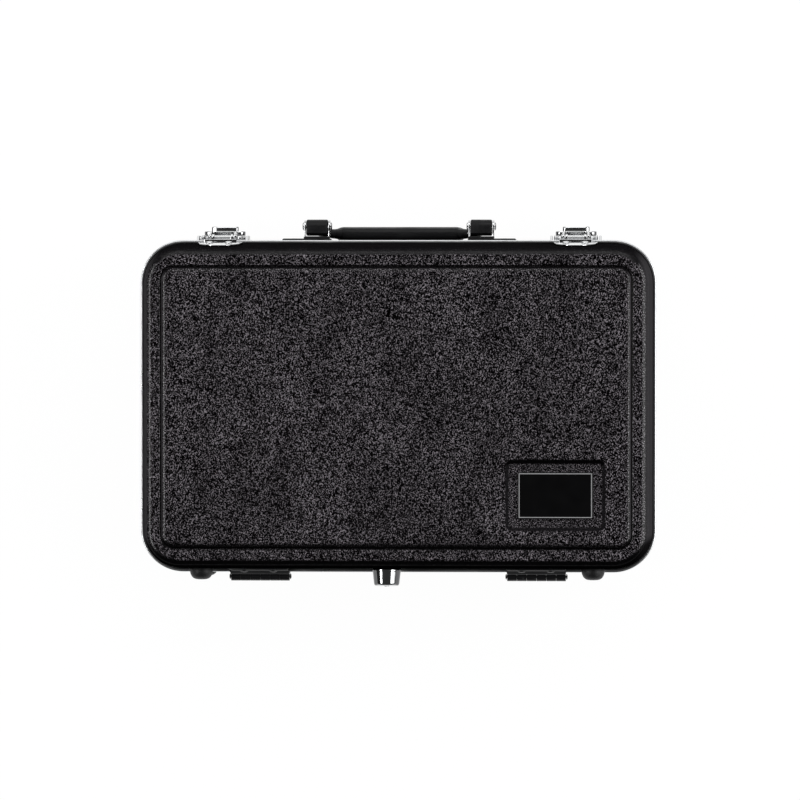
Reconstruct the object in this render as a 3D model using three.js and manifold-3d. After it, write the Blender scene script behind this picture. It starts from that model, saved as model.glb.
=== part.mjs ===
// Clarinet case lying on its bottom half: two moulded shells hinged at the back, with draw
// latches and a folding handle at the front. Millimetres, +Z up, the front faces -Y, and the
// origin is the middle of the bottom panel. "Left" and "right" are as seen from the front.

import Module from 'manifold-3d';
import * as THREE from 'three';
import { mergeVertices } from 'three/addons/utils/BufferGeometryUtils.js';

// Fits shared by every piece
const fitGap = 0.3;
const cutOverrun = 2;

// Shells
const shellLength = 346.2;
const shellWidth = 221.5;
const baseDepth = 54;
const lidDepth = 46;
const shellCorner = 27;
const shellWall = 3;
const wallDraft = THREE.MathUtils.degToRad(4.5);
const edgeRadius = 6.5;
const innerEdgeRadius = 3;
const panelRaise = 2.2;
const panelEndInset = 14.9;
const panelSideInset = 16.15;
const panelCorner = 9;
const panelSlope = 5.5;

// Label recess in the lid panel and the plate in it
const recessLength = 69;
const recessWidth = 49.5;
const recessDepth = 1.8;
const recessCorner = 3;
const recessEndInset = 15.3;
const recessSideInset = 10.45;
const plateLength = 50.5;
const plateWidth = 31.3;
const plateThickness = 0.8;
const plateCorner = 1;

// Aluminium valances round both rims
const valanceStandOff = 2;
const valanceThickness = 1;
const skirtHeight = 6;
const legHeight = 5;
const tongueThickness = 1;
const tongueDepth = 2.5;

// Plush tray in the base and lining in the lid
const trayDrop = 3.5;
const trayEndMargin = 14.6;
const traySideMargin = 15.75;
const wellRib = 8;
const wellFloorRound = 4;
const wellFlare = 1;
const jointFloor = 18;
const bellFloor = 9;
const jointWellCorner = 16;
const smallWellCorner = 8;
const liningWall = 2.5;
const liningPad = 8;

// Rivets through plates and shells
const rivetShank = 1.3;
const rivetHead = 2.6;
const rivetDome = 1.2;

// Latches
const latchPlateThickness = 1.2;
const latchBaseWidth = 35;
const latchBaseTop = 8;
const latchBaseFoot = 34;
const latchGuardThickness = 1.5;
const latchGuardOut = 5.2;
const latchGuardSlope = 4;
const latchStopOut = 4.4;
const latchStopWidth = 27;
const latchStopThickness = 1.2;
const latchCheekThickness = 1.7;
const latchCheekSpread = 12.7;
const latchPivotOut = 4.2;
const latchPivotDrop = 12;
const latchPivotRadius = 1.2;
const latchLugRadius = 2;
const latchRivetSpread = 25;
const latchRivetDrop = 28.5;
const leverWidth = 18.3;
const leverCheek = 1.5;
const leverOut = 8.2;
const leverWeb = 1.2;
const leverTop = 16;
const leverFoot = 35;
const leverHeel = 24;
const leverHeelOut = 2.6;
const paddleWidth = 28;
const paddleHeight = 6;
const paddleDepth = 3.2;
const thumbOut = 11.4;
const thumbHeight = 3.5;
const hookPinReach = 8;
const hookPinInset = 0.8;
const hookPinRadius = 1.1;
const hookWidth = 27.8;
const hookLeg = 2.3;
const hookLegDepth = 2.2;
const hookLegTop = 4;
const hookPlateFoot = 1;
const hookPlateOut = 3;
const hookPlateThickness = 1.4;
const hookLipThickness = 1.4;
const hookLipReach = 1.95;
const pinHeadRadius = 2.1;
const pinHeadThickness = 0.8;

// Keepers on the lid
const keeperFootWidth = 30;
const keeperShoulderWidth = 25.8;
const keeperCrestWidth = 12;
const keeperClear = 1.2;
const keeperTop = 33;
const keeperShoulder = 25.5;
const keeperThickness = 1.2;
const keeperLedge = 1.4;
const keeperLedgeWidth = 22;
const keeperRivetSpread = 13;
const keeperRivetHeight = 22;

// Handle with its plinths and clips
const handleSpacing = 112;
const handlePivotOut = 11.5;
const handlePivotDrop = 16;
const bossWidth = 14.7;
const bossRadius = 4.6;
const handleDrop = 18.5;
const gripWidth = 18.4;
const gripDepth = 9.9;
const gripOut = 6.2;
const plinthOuterSide = 23.6;
const plinthInnerSide = 9.2;
const plinthTop = 8;
const plinthFoot = 31;
const plinthOut = 3.2;
const plinthBevel = 1.6;
const handleRivetSide = 16;
const handleRivetSpread = 13;
const handleRivetSink = 1.6;
const plinthLip = 2.9;
const clipThickness = 1.2;
const clipRadius = 4.2;
const handlePinRadius = 1.6;
const handlePinHead = 2.8;
const handlePinHeadThickness = 1;

// Hinges
const hingeWidth = 40;
const hingeKnuckles = 6;
const hingeBarrel = 3;
const hingePinRadius = 1;
const hingePinHead = 1.9;
const hingePinHeadThickness = 0.9;
const hingeLeafThickness = 1.2;
const hingeLeafFoot = 24;
const hingeLeafJog = 2;
const hingeKnuckleClear = 0.6;
const hingeRivetSpread = 19.8;
const hingeRivetDrop = 17;

// Feet on the hinge side
const footRadius = 7.75;
const footHeight = 8;
const footTipRadius = 4.6;
const footRim = 2.9;
const footDrop = 23;
const centreFootShift = 7;
const centreFootRadius = 9.75;
const centreFootTip = 7.75;
const centreFootHeight = 12.1;
const centreFootBore = 5.2;
const centreFootBoreDepth = 4;
const centreFootRise = 22;
const centreFootRound = 1.6;
const studRadius = 4.4;
const studHeight = 4.2;
const studNub = 1.4;
const studNubHeight = 0.9;

// Facets
const cornerSteps = 6;
const edgeSteps = 3;
const wellSteps = 4;
const wellRoundSteps = 2;
const pinSides = 12;
const holeSides = 8;
const rivetSides = 8;
const footSides = 18;
const mergeShare = 1e-5;

// Shares of the shell's half length at which the pairs of fittings stand
const latchPlaceShare = 0.6961;
const hingePlaceShare = 0.543;
const footPlaceShare = 0.7655;

// Shares of the tray's width that its rows of wells take, from the hinges to the latches, and of
// its length that the wells in each row take
const rowWidthShares = [0.253, 0.241, 0.506];
const backRowShares = [0.848, 0.152];
const middleRowShares = [0.243, 0.757];
const frontRowShares = [0.392, 0.339, 0.269];

// Shares of a panel's slope and raise, from the crease to the flat
const panelEdgeShares = [[0, 0], [0.12, 0.5], [0.4, 0.86], [1, 1]];

// Shares along half the handle, from the boss to the middle of the grip: reach from the middle,
// way from the pivot's stand-off to the grip's, drop, width and depth
const handleShares = [
  [1, 0, 0, 0.48, 0.9],
  [1, 0.35, 0.38, 0.5, 0.75],
  [0.946, 0.7, 0.66, 0.56, 0.66],
  [0.84, 0.93, 0.84, 0.7, 0.64],
  [0.76, 0.97, 0.91, 0.82, 0.74],
  [0.69, 1, 0.95, 0.92, 1],
  [0.45, 1, 0.975, 0.98, 1],
  [0, 1, 1, 1, 1],
];

// Shares of the half width and half depth round the handle's section
const handleSectionShares = [
  [1, 0], [0.94, 0.62], [0.68, 0.92], [0, 1], [-0.68, 0.92], [-0.94, 0.62],
  [-1, 0], [-0.94, -0.62], [-0.68, -0.92], [0, -1], [0.68, -0.92], [0.94, -0.62],
];

const wasm = await Module();
wasm.setup();

const quarterTurn = Math.PI / 2;
const draftSlope = Math.tan(wallDraft);
const rimSetBack = valanceThickness + fitGap / 2 + fitGap;
const legOuter = shellWall + legHeight * draftSlope + fitGap;
const legInner = legOuter + valanceThickness;
const tongueOuter = legInner + fitGap;
const tongueInner = tongueOuter + tongueThickness;
const leverFace = leverOut - leverWeb;
const overValance = valanceStandOff + fitGap;
const hingeAxisOut = overValance + hingeBarrel;
const keeperFoot = skirtHeight + keeperClear;
const ledgeTop = keeperFoot + keeperLedge;
const hookTop = ledgeTop + fitGap + hookLipThickness;
const baseFloor = panelRaise + shellWall;
const panelLength = shellLength - 2 * panelEndInset;
const panelWidth = shellWidth - 2 * panelSideInset;
const recessX = -(panelLength - recessLength) / 2 + recessEndInset;
const recessY = (panelWidth - recessWidth) / 2 - recessSideInset;

const materials = {
  shell: finish(0x2b292c, 0.62, 0),
  plush: finish(0x232127, 0.95, 0),
  aluminium: finish(0xb9bcc0, 0.32, 1),
  chrome: finish(0xd4d6da, 0.12, 1),
  blackSteel: finish(0x141416, 0.38, 0.6),
  handle: finish(0x17171a, 0.42, 0),
  rubber: finish(0x0f0f10, 0.8, 0),
  plate: finish(0x121214, 0.35, 0.2),
};

function finish(color, roughness, metalness) {
  return new THREE.MeshStandardMaterial({ color, roughness, metalness });
}

function toSolid(geometry) {
  const bare = geometry.clone();
  bare.deleteAttribute('normal');
  bare.deleteAttribute('uv');
  const merged = mergeVertices(bare, mergeShare * shellWall);
  const corners = merged.index.array;
  const kept = [];
  for (let i = 0; i < corners.length; i += 3) {
    const [a, b, c] = [corners[i], corners[i + 1], corners[i + 2]];
    if (a !== b && b !== c && c !== a) kept.push(a, b, c);
  }
  return new wasm.Manifold(new wasm.Mesh({
    numProp: 3,
    vertProperties: merged.attributes.position.array,
    triVerts: Uint32Array.from(kept),
  }));
}

function toGeometry(solid) {
  const mesh = solid.getMesh();
  const geometry = new THREE.BufferGeometry();
  geometry.setAttribute('position', new THREE.BufferAttribute(mesh.vertProperties, 3));
  geometry.setIndex(new THREE.BufferAttribute(mesh.triVerts, 1));
  geometry.computeVertexNormals();
  return geometry;
}

function joined(solids) {
  return solids.reduce((whole, solid) => whole.add(solid));
}

function cutBy(solid, cutters) {
  return cutters.reduce((left, cutter) => left.subtract(cutter), solid);
}

function addPiece(parent, name, solid, material) {
  const mesh = new THREE.Mesh(toGeometry(solid), material);
  mesh.name = name;
  parent.add(mesh);
  return mesh;
}

// A level rounded rectangle, counter-clockwise from above, with as many points at any size.
function levelRing(length, width, corner, height, steps = cornerSteps) {
  const points = [];
  for (let quarter = 0; quarter < 4; quarter++) {
    const xSide = quarter === 0 || quarter === 3 ? 1 : -1;
    const ySide = quarter < 2 ? 1 : -1;
    for (let step = 0; step <= steps; step++) {
      const angle = (quarter + step / steps) * quarterTurn;
      const x = xSide * (length / 2 - corner) + corner * Math.cos(angle);
      const y = ySide * (width / 2 - corner) + corner * Math.sin(angle);
      points.push(new THREE.Vector3(x, y, height));
    }
  }
  return points;
}

// The shell's outline moved inwards by an inset, at a height.
function insetRing(inset, height) {
  return levelRing(shellLength - 2 * inset, shellWidth - 2 * inset, shellCorner - inset, height);
}

// A closed body through rings of equal count: capped at both ends, or joined end to end.
function loft(rings, endless = false) {
  const count = rings[0].length;
  const points = rings.flat();
  const index = [];
  const bands = endless ? rings.length : rings.length - 1;
  for (let band = 0; band < bands; band++) {
    const near = band * count;
    const far = ((band + 1) % rings.length) * count;
    for (let i = 0; i < count; i++) {
      const next = (i + 1) % count;
      index.push(near + i, near + next, far + next, near + i, far + next, far + i);
    }
  }
  if (!endless) {
    const last = (rings.length - 1) * count;
    for (let i = 0; i < count; i++) {
      const next = (i + 1) % count;
      index.push(points.length, next, i, points.length + 1, last + i, last + next);
    }
    points.push(middleOf(rings[0]), middleOf(rings[rings.length - 1]));
  }
  const geometry = new THREE.BufferGeometry().setFromPoints(points);
  geometry.setIndex(index);
  return toSolid(geometry);
}

function middleOf(ring) {
  const middle = ring.reduce((sum, point) => sum.add(point), new THREE.Vector3());
  return middle.divideScalar(ring.length);
}

// Insets and depths of the round between a drafted wall and the flat at a depth.
function edgeRound(wallInset, depth, radius) {
  const centreDepth = depth - radius;
  const wallDepth = centreDepth + radius * Math.sin(wallDraft);
  const centreInset = wallInset + wallDepth * draftSlope + radius * Math.cos(wallDraft);
  const points = [];
  for (let step = 0; step <= edgeSteps; step++) {
    const angle = wallDraft + (quarterTurn - wallDraft) * step / edgeSteps;
    const inset = centreInset - radius * Math.cos(angle);
    points.push([inset, centreDepth + radius * Math.sin(angle)]);
  }
  return points;
}

function wallRings(points, toHeight) {
  return points.map(([inset, depth]) => insetRing(inset, toHeight(depth)));
}

// One moulded half with its raised panel; depths are measured from the parting plane.
function mouldedShell(depth, toHeight) {
  const ringDepth = depth - panelRaise;
  const outside = wallRings([
    [rimSetBack * draftSlope, rimSetBack],
    ...edgeRound(0, ringDepth, edgeRadius),
  ], toHeight);
  for (const [slopeShare, raiseShare] of panelEdgeShares) {
    const inset = panelSlope * slopeShare;
    outside.push(levelRing(
      panelLength - 2 * inset,
      panelWidth - 2 * inset,
      panelCorner - inset,
      toHeight(ringDepth + panelRaise * raiseShare),
    ));
  }
  const floorDepth = ringDepth - shellWall;
  const inside = wallRings([
    [shellWall + rimSetBack * draftSlope, rimSetBack],
    ...edgeRound(shellWall, floorDepth, innerEdgeRadius),
  ], toHeight);
  for (const [inset, rise] of [[panelSlope, 0], [panelSlope + panelRaise, panelRaise]]) {
    inside.push(levelRing(
      panelLength - 2 * inset,
      panelWidth - 2 * inset,
      panelCorner,
      toHeight(floorDepth + rise),
    ));
  }
  return { outside, inside };
}

const toBaseHeight = depth => baseDepth - depth;
const toLidHeight = depth => baseDepth + depth;

function bottomShell(holes) {
  const { outside, inside } = mouldedShell(baseDepth, toBaseHeight);
  return cutBy(loft([...outside.reverse(), ...inside]), holes);
}

function lidShell(holes) {
  const { outside, inside } = mouldedShell(lidDepth, toLidHeight);
  const recess = roundedBox(
    recessLength, recessWidth, recessCorner, recessDepth + cutOverrun,
  ).translate([recessX, recessY, toLidHeight(lidDepth) - recessDepth]);
  return cutBy(loft([...inside.reverse(), ...outside]), [recess, ...holes]);
}

function roundedBox(length, width, corner, height) {
  return loft([0, height].map(level => levelRing(length, width, corner, level, wellSteps)));
}

function nameplate() {
  const floor = toLidHeight(lidDepth) - recessDepth + fitGap;
  return roundedBox(plateLength, plateWidth, plateCorner, plateThickness)
    .translate([recessX, recessY, floor]);
}

// A valance is a closed section swept round the rim: offsets outwards and heights.
function sweptRim(section) {
  return loft(section.map(([out, height]) => insetRing(-out, baseDepth + height)), true);
}

function bottomValance() {
  const top = -fitGap / 2;
  const under = top - valanceThickness;
  return sweptRim([
    [valanceStandOff, -skirtHeight],
    [valanceStandOff, top],
    [-legInner, top],
    [-legInner, -legHeight],
    [-legOuter, -legHeight],
    [-legOuter, under],
    [fitGap, under],
    [fitGap, -skirtHeight],
  ]);
}

function lidValance() {
  const bottom = fitGap / 2;
  const over = bottom + valanceThickness;
  return sweptRim([
    [valanceStandOff, bottom],
    [valanceStandOff, skirtHeight],
    [fitGap, skirtHeight],
    [fitGap, over],
    [-legOuter, over],
    [-legOuter, legHeight],
    [-tongueInner, legHeight],
    [-tongueInner, -tongueDepth],
    [-tongueOuter, -tongueDepth],
    [-tongueOuter, bottom],
  ]);
}

// Wells of one row, side by side along X with ribs between them.
function wellRow(middleY, width, shares, kinds) {
  const rowLength = shellLength - 2 * trayEndMargin;
  const free = rowLength - wellRib * (shares.length - 1);
  let edge = -rowLength / 2;
  return shares.map((share, i) => {
    const length = share * free;
    const middleX = edge + length / 2;
    edge += length + wellRib;
    return { ...kinds[i], length, width, middleX, middleY };
  });
}

function trayWells() {
  const joint = { floor: jointFloor, corner: jointWellCorner };
  const small = { floor: jointFloor, corner: smallWellCorner };
  const deep = { floor: bellFloor, corner: jointWellCorner };
  const rows = [
    [backRowShares, [joint, small]],
    [middleRowShares, [small, joint]],
    [frontRowShares, [deep, small, small]],
  ];
  const rowsWidth = shellWidth - 2 * traySideMargin;
  const free = rowsWidth - wellRib * (rows.length - 1);
  let edge = rowsWidth / 2;
  const wells = rows.flatMap(([shares, kinds], row) => {
    const width = rowWidthShares[row] * free;
    const middleY = edge - width / 2;
    edge -= width + wellRib;
    return wellRow(middleY, width, shares, kinds);
  });
  const mouthpiece = wells.at(-2);
  const width = (mouthpiece.width - wellRib) / 2;
  const shift = (width + wellRib) / 2;
  const cap = { ...mouthpiece, width, middleY: mouthpiece.middleY - shift };
  Object.assign(mouthpiece, { width, middleY: mouthpiece.middleY + shift });
  return [...wells, cap];
}

// The space of one well, with a rounded floor and slightly flaring sides.
function wellSpace({ length, width, floor, corner, middleX, middleY }, top) {
  const rings = [];
  for (let step = 0; step <= wellRoundSteps; step++) {
    const angle = quarterTurn * step / wellRoundSteps;
    const inset = wellFlare + wellFloorRound * (1 - Math.sin(angle));
    const height = floor + wellFloorRound * (1 - Math.cos(angle));
    rings.push([inset, height]);
  }
  rings.push([0, top], [0, top + cutOverrun]);
  return loft(rings.map(([inset, height]) => levelRing(
    length - 2 * inset, width - 2 * inset, corner - inset, height, wellSteps,
  ))).translate([middleX, middleY, 0]);
}

function instrumentTray() {
  const top = baseDepth - trayDrop;
  const rimInset = legInner + fitGap;
  const stepHeight = baseDepth - legHeight - fitGap;
  const floorDepth = baseDepth - baseFloor - fitGap;
  const foot = edgeRound(shellWall + fitGap, floorDepth, innerEdgeRadius).reverse();
  const stepInset = shellWall + fitGap + (baseDepth - stepHeight) * draftSlope;
  const block = loft([
    ...wallRings(foot, toBaseHeight),
    insetRing(stepInset, stepHeight),
    insetRing(rimInset, stepHeight + fitGap),
    insetRing(rimInset, top),
  ]);
  return cutBy(block, trayWells().map(well => wellSpace(well, top)));
}

function lidLining() {
  const ceiling = lidDepth - panelRaise - shellWall - fitGap;
  const rim = legHeight + fitGap;
  const outer = shellWall + fitGap;
  const inner = outer + liningWall;
  const outside = wallRings([
    [outer + rim * draftSlope, rim],
    ...edgeRound(outer, ceiling, innerEdgeRadius),
  ], toLidHeight);
  const inside = wallRings([
    [inner + rim * draftSlope, rim],
    ...edgeRound(inner, ceiling - liningPad, innerEdgeRadius),
  ], toLidHeight);
  return loft([...inside.reverse(), ...outside]);
}

// Fittings are modelled in a wall frame: X along the case, -Y out of the wall, and Z up from
// the parting line. An outline is given as [out, height] pairs.

// How far the drafted shell wall lies out at a height from the parting line.
function wallOut(height) {
  return -Math.abs(height) * draftSlope;
}

function shapeOf(outline) {
  return new THREE.Shape(outline.map(([x, y]) => new THREE.Vector2(x, y)));
}

// A prism along X, its outline in out and height.
function acrossWall(outline, width, x = 0) {
  const shape = outline instanceof THREE.Shape ? outline : shapeOf(outline);
  const geometry = new THREE.ExtrudeGeometry(shape, { depth: width, bevelEnabled: false });
  geometry.translate(0, 0, -width / 2);
  geometry.applyMatrix4(new THREE.Matrix4().makeBasis(
    new THREE.Vector3(0, -1, 0), new THREE.Vector3(0, 0, 1), new THREE.Vector3(-1, 0, 0),
  ));
  geometry.translate(x, 0, 0);
  return toSolid(geometry);
}

// A prism out of the wall, its outline in X and height.
function outOfWall(outline, from, to) {
  const geometry = new THREE.ExtrudeGeometry(shapeOf(outline), {
    depth: to - from,
    bevelEnabled: false,
  });
  geometry.translate(0, 0, from);
  geometry.rotateX(quarterTurn);
  return toSolid(geometry);
}

function rod(radius, width, out, height, x = 0, sides = pinSides) {
  const geometry = new THREE.CylinderGeometry(radius, radius, width, sides);
  geometry.rotateZ(quarterTurn);
  geometry.translate(x, -out, height);
  return toSolid(geometry);
}

// A pin along X with a flat head at each end.
function headedPin(radius, span, headRadius, headThickness, out, height) {
  const reach = span / 2 + fitGap;
  const heads = [-1, 1].map(side => rod(
    headRadius, headThickness, out, height, side * (reach + headThickness / 2),
  ));
  return joined([rod(radius, 2 * reach + headThickness, out, height), ...heads]);
}

function pinHole(radius, width, out, height) {
  return rod(radius + fitGap, width + cutOverrun, out, height, 0, holeSides);
}

// A plate lying on the drafted wall between two heights.
function onWall(from, to, thickness) {
  const inner = [from, to].map(height => [wallOut(height) + fitGap, height]);
  const outer = inner.map(([out, height]) => [out + thickness, height]);
  return [inner[0], inner[1], outer[1], outer[0]];
}

// A lug from the wall to a round end about a pivot.
function lug(from, out, height, radius) {
  const shape = new THREE.Shape();
  shape.moveTo(from, height - radius);
  shape.lineTo(out, height - radius);
  shape.absarc(out, height, radius, -quarterTurn, quarterTurn);
  shape.lineTo(from, height + radius);
  return shape;
}

// Turned pieces stand on the wall at a height, with their axis square to it.
function turned(profile, sides) {
  const points = profile.map(([radius, height]) => new THREE.Vector2(radius, height));
  return toSolid(new THREE.LatheGeometry(points, sides));
}

function stoodOnWall(object, x, height) {
  const tilt = height > 0 ? wallDraft : -wallDraft;
  object.position.set(x, -wallOut(height), height);
  object.quaternion.setFromUnitVectors(
    new THREE.Vector3(0, 1, 0),
    new THREE.Vector3(0, -Math.cos(tilt), Math.sin(tilt)),
  );
  return object;
}

function rivet(plateOut) {
  const seat = plateOut + 2 * fitGap;
  return turned([
    [0, -shellWall],
    [rivetShank, -shellWall],
    [rivetShank, seat],
    [rivetHead, seat],
    [rivetHead * Math.SQRT1_2, seat + rivetDome * Math.SQRT1_2],
    [0, seat + rivetDome],
  ], rivetSides);
}

// The hole that a rivet passes through, in the wall frame.
function rivetHole(x, height, reach) {
  const hole = new THREE.CylinderGeometry(
    rivetShank + fitGap, rivetShank + fitGap, 2 * (reach + shellWall + cutOverrun), holeSides,
  );
  const place = stoodOnWall(new THREE.Object3D(), x, height);
  place.updateMatrix();
  hole.applyMatrix4(place.matrix);
  return toSolid(hole);
}

const latchRivets = [-1, 1].map(side => [side * latchRivetSpread / 2, -latchRivetDrop]);
const keeperRivets = [-1, 1].map(side => [side * keeperRivetSpread / 2, keeperRivetHeight]);
// The heads of the handle's rivets are let into the plinths.
const handleRivetSeat = height => plinthOut - handleRivetSink - wallOut(height);

function headSpace(x, height, from) {
  const radius = rivetHead + fitGap;
  const space = new THREE.CylinderGeometry(radius, radius, plinthOut, pinSides);
  space.translate(0, from + plinthOut / 2, 0);
  const place = stoodOnWall(new THREE.Object3D(), x, height);
  place.updateMatrix();
  space.applyMatrix4(place.matrix);
  return toSolid(space);
}

const hingeRivets = half => [-1, 1].map(side => [
  side * hingeRivetSpread / 2, half * hingeRivetDrop,
]);
const handleRivetHeight = -(plinthTop + plinthFoot) / 2;
const handleRivets = side => [-1, 1].map(end => [
  side * (handleSpacing / 2 + handleRivetSide), handleRivetHeight + end * handleRivetSpread / 2,
]);

function latchBase() {
  const width = latchBaseWidth;
  const plate = acrossWall(onWall(-latchBaseTop, -latchBaseFoot, latchPlateThickness), width);
  const guard = [
    [wallOut(latchBaseTop) + fitGap, -latchBaseTop],
    [wallOut(latchBaseFoot) + fitGap, -latchBaseFoot],
    [wallOut(latchBaseFoot) + fitGap + latchPlateThickness, -latchBaseFoot],
    [latchGuardOut, -latchBaseFoot + latchGuardSlope],
    [latchGuardOut, -latchBaseTop - latchGuardSlope],
    [wallOut(latchBaseTop) + fitGap + latchPlateThickness, -latchBaseTop],
  ];
  const lugFrom = wallOut(latchPivotDrop) + fitGap + latchPlateThickness / 2;
  const cheek = lug(lugFrom, latchPivotOut, -latchPivotDrop, latchLugRadius);
  const guardX = (width - latchGuardThickness) / 2;
  const cheekX = latchCheekSpread / 2;
  const sides = [-1, 1].flatMap(side => [
    acrossWall(guard, latchGuardThickness, side * guardX),
    acrossWall(cheek, latchCheekThickness, side * cheekX),
  ]);
  const stop = acrossWall([
    [wallOut(latchBaseFoot) + fitGap, -latchBaseFoot],
    [latchStopOut, -latchBaseFoot],
    [latchStopOut, -latchBaseFoot + latchStopThickness],
    [wallOut(latchBaseFoot) + fitGap, -latchBaseFoot + latchStopThickness],
  ], latchStopWidth);
  return cutBy(joined([plate, stop, ...sides]), [
    pinHole(latchPivotRadius, latchCheekSpread + latchCheekThickness, latchPivotOut, -latchPivotDrop),
    ...latchRivets.map(([x, height]) => rivetHole(x, height, latchPlateThickness)),
  ]);
}

const hookPinOut = latchPivotOut - hookPinInset;
const hookPinHeight = -latchPivotDrop - hookPinReach;

function latchLever() {
  const cheek = [
    [latchPivotOut - latchLugRadius, -latchPivotDrop],
    [hookPinOut - latchLugRadius, hookPinHeight],
    [leverHeelOut, -leverHeel],
    [leverFace, -leverFoot],
    [leverOut, -leverFoot],
    [leverOut, -leverTop],
    [latchPivotOut + latchLugRadius, -latchPivotDrop],
  ];
  const cheekX = (leverWidth - leverCheek) / 2;
  const cheeks = [-1, 1].flatMap(side => [
    acrossWall(cheek, leverCheek, side * cheekX),
    rod(latchLugRadius, leverCheek, latchPivotOut, -latchPivotDrop, side * cheekX),
    rod(latchLugRadius, leverCheek, hookPinOut, hookPinHeight, side * cheekX),
  ]);
  const web = acrossWall([
    [leverFace, -leverTop],
    [leverFace, -leverFoot],
    [leverOut, -leverFoot],
    [leverOut, -leverTop],
  ], leverWidth);
  const paddle = acrossWall([
    [leverOut - paddleDepth, -leverFoot],
    [leverOut, -leverFoot],
    [leverOut, -leverFoot + paddleHeight],
    [leverOut - paddleDepth, -leverFoot + paddleHeight],
  ], paddleWidth);
  const thumb = acrossWall([
    [leverFace, -leverFoot - thumbHeight / 2],
    [thumbOut, -leverFoot - thumbHeight / 2],
    [thumbOut, -leverFoot + thumbHeight / 2],
    [leverFace, -leverFoot + thumbHeight],
  ], leverWidth);
  return cutBy(joined([web, ...cheeks, paddle, thumb]), [
    pinHole(latchPivotRadius, leverWidth, latchPivotOut, -latchPivotDrop),
    pinHole(hookPinRadius, leverWidth, hookPinOut, hookPinHeight),
  ]);
}

function latchHook() {
  const legInnerOut = hookPinOut - hookLegDepth / 2;
  const leg = [
    [legInnerOut, hookPinHeight],
    [legInnerOut + hookLegDepth, hookPinHeight],
    [legInnerOut + hookLegDepth, hookLegTop],
    [legInnerOut, hookLegTop],
  ];
  const legX = (hookWidth - hookLeg) / 2;
  const legs = [-1, 1].flatMap(side => [
    acrossWall(leg, hookLeg, side * legX),
    rod(latchLugRadius, hookLeg, hookPinOut, hookPinHeight, side * legX),
  ]);
  const plateOut = hookPlateOut + hookPlateThickness;
  const plate = acrossWall([
    [hookPlateOut, hookPlateFoot],
    [plateOut, hookPlateFoot],
    [plateOut, hookTop],
    [hookPlateOut - hookLipReach, hookTop],
    [hookPlateOut - hookLipReach, hookTop - hookLipThickness],
    [hookPlateOut, hookTop - hookLipThickness],
  ], hookWidth);
  return joined([plate, ...legs]).subtract(
    pinHole(hookPinRadius, hookWidth, hookPinOut, hookPinHeight),
  );
}

function keeper() {
  const ledgeOut = hookPlateOut - fitGap;
  const plate = acrossWall(onWall(keeperFoot, keeperTop, keeperThickness), keeperFootWidth);
  const taper = outOfWall([
    [-keeperFootWidth / 2, 0],
    [keeperFootWidth / 2, 0],
    [keeperFootWidth / 2, ledgeTop],
    [keeperShoulderWidth / 2, keeperShoulder],
    [keeperCrestWidth / 2, keeperTop + fitGap],
    [-keeperCrestWidth / 2, keeperTop + fitGap],
    [-keeperShoulderWidth / 2, keeperShoulder],
    [-keeperFootWidth / 2, ledgeTop],
  ], wallOut(keeperTop) - cutOverrun, keeperThickness + cutOverrun);
  const ledge = acrossWall([
    [wallOut(keeperFoot) + fitGap + keeperThickness / 2, keeperFoot],
    [ledgeOut, keeperFoot],
    [ledgeOut, ledgeTop],
    [wallOut(ledgeTop) + fitGap + keeperThickness / 2, ledgeTop],
  ], keeperLedgeWidth);
  return cutBy(plate.intersect(taper).add(ledge), keeperRivets.map(
    ([x, height]) => rivetHole(x, height, keeperThickness),
  ));
}

function handlePlinth(side) {
  const middle = side * (handleSpacing + plinthOuterSide - plinthInnerSide) / 2;
  const width = plinthOuterSide + plinthInnerSide;
  const block = acrossWall([
    [wallOut(plinthTop) + fitGap, -plinthTop],
    [wallOut(plinthFoot) + fitGap, -plinthFoot],
    [plinthOut - plinthBevel, -plinthFoot],
    [plinthOut, -plinthFoot + plinthBevel],
    [plinthOut, -plinthTop - plinthBevel],
    [plinthOut - plinthBevel, -plinthTop],
  ], width, middle);
  const lipFoot = -handlePivotDrop + bossRadius + fitGap;
  const lip = acrossWall([
    [plinthOut - plinthBevel, lipFoot],
    [clipFrom + clipThickness, lipFoot],
    [clipFrom + clipThickness, lipFoot + plinthLip],
    [plinthOut - plinthBevel, lipFoot + plinthLip],
  ], clipSpan, side * handleSpacing / 2);
  const holes = handleRivets(side).flatMap(([x, height]) => [
    rivetHole(x, height, plinthOut),
    headSpace(x, height, handleRivetSeat(height) + fitGap),
  ]);
  return cutBy(joined([block, lip]), holes);
}

const clipSpan = bossWidth + 2 * (fitGap + clipThickness);
const clipFrom = plinthOut + fitGap;
const bossBack = handlePivotOut - clipFrom - clipThickness - fitGap;

function handleClip(side) {
  const middle = side * handleSpacing / 2;
  const earX = (clipSpan - clipThickness) / 2;
  const ear = lug(clipFrom, handlePivotOut, -handlePivotDrop, clipRadius);
  const base = acrossWall([
    [clipFrom, -handlePivotDrop - clipRadius],
    [clipFrom + clipThickness, -handlePivotDrop - clipRadius],
    [clipFrom + clipThickness, -handlePivotDrop + clipRadius],
    [clipFrom, -handlePivotDrop + clipRadius],
  ], clipSpan, middle);
  const ears = [-1, 1].map(end => acrossWall(ear, clipThickness, middle + end * earX));
  return joined([base, ...ears]).subtract(
    rod(handlePinRadius + fitGap, clipSpan + cutOverrun, handlePivotOut, -handlePivotDrop, middle),
  );
}

function handlePin() {
  return headedPin(
    handlePinRadius, clipSpan, handlePinHead, handlePinHeadThickness,
    handlePivotOut, -handlePivotDrop,
  );
}

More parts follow.
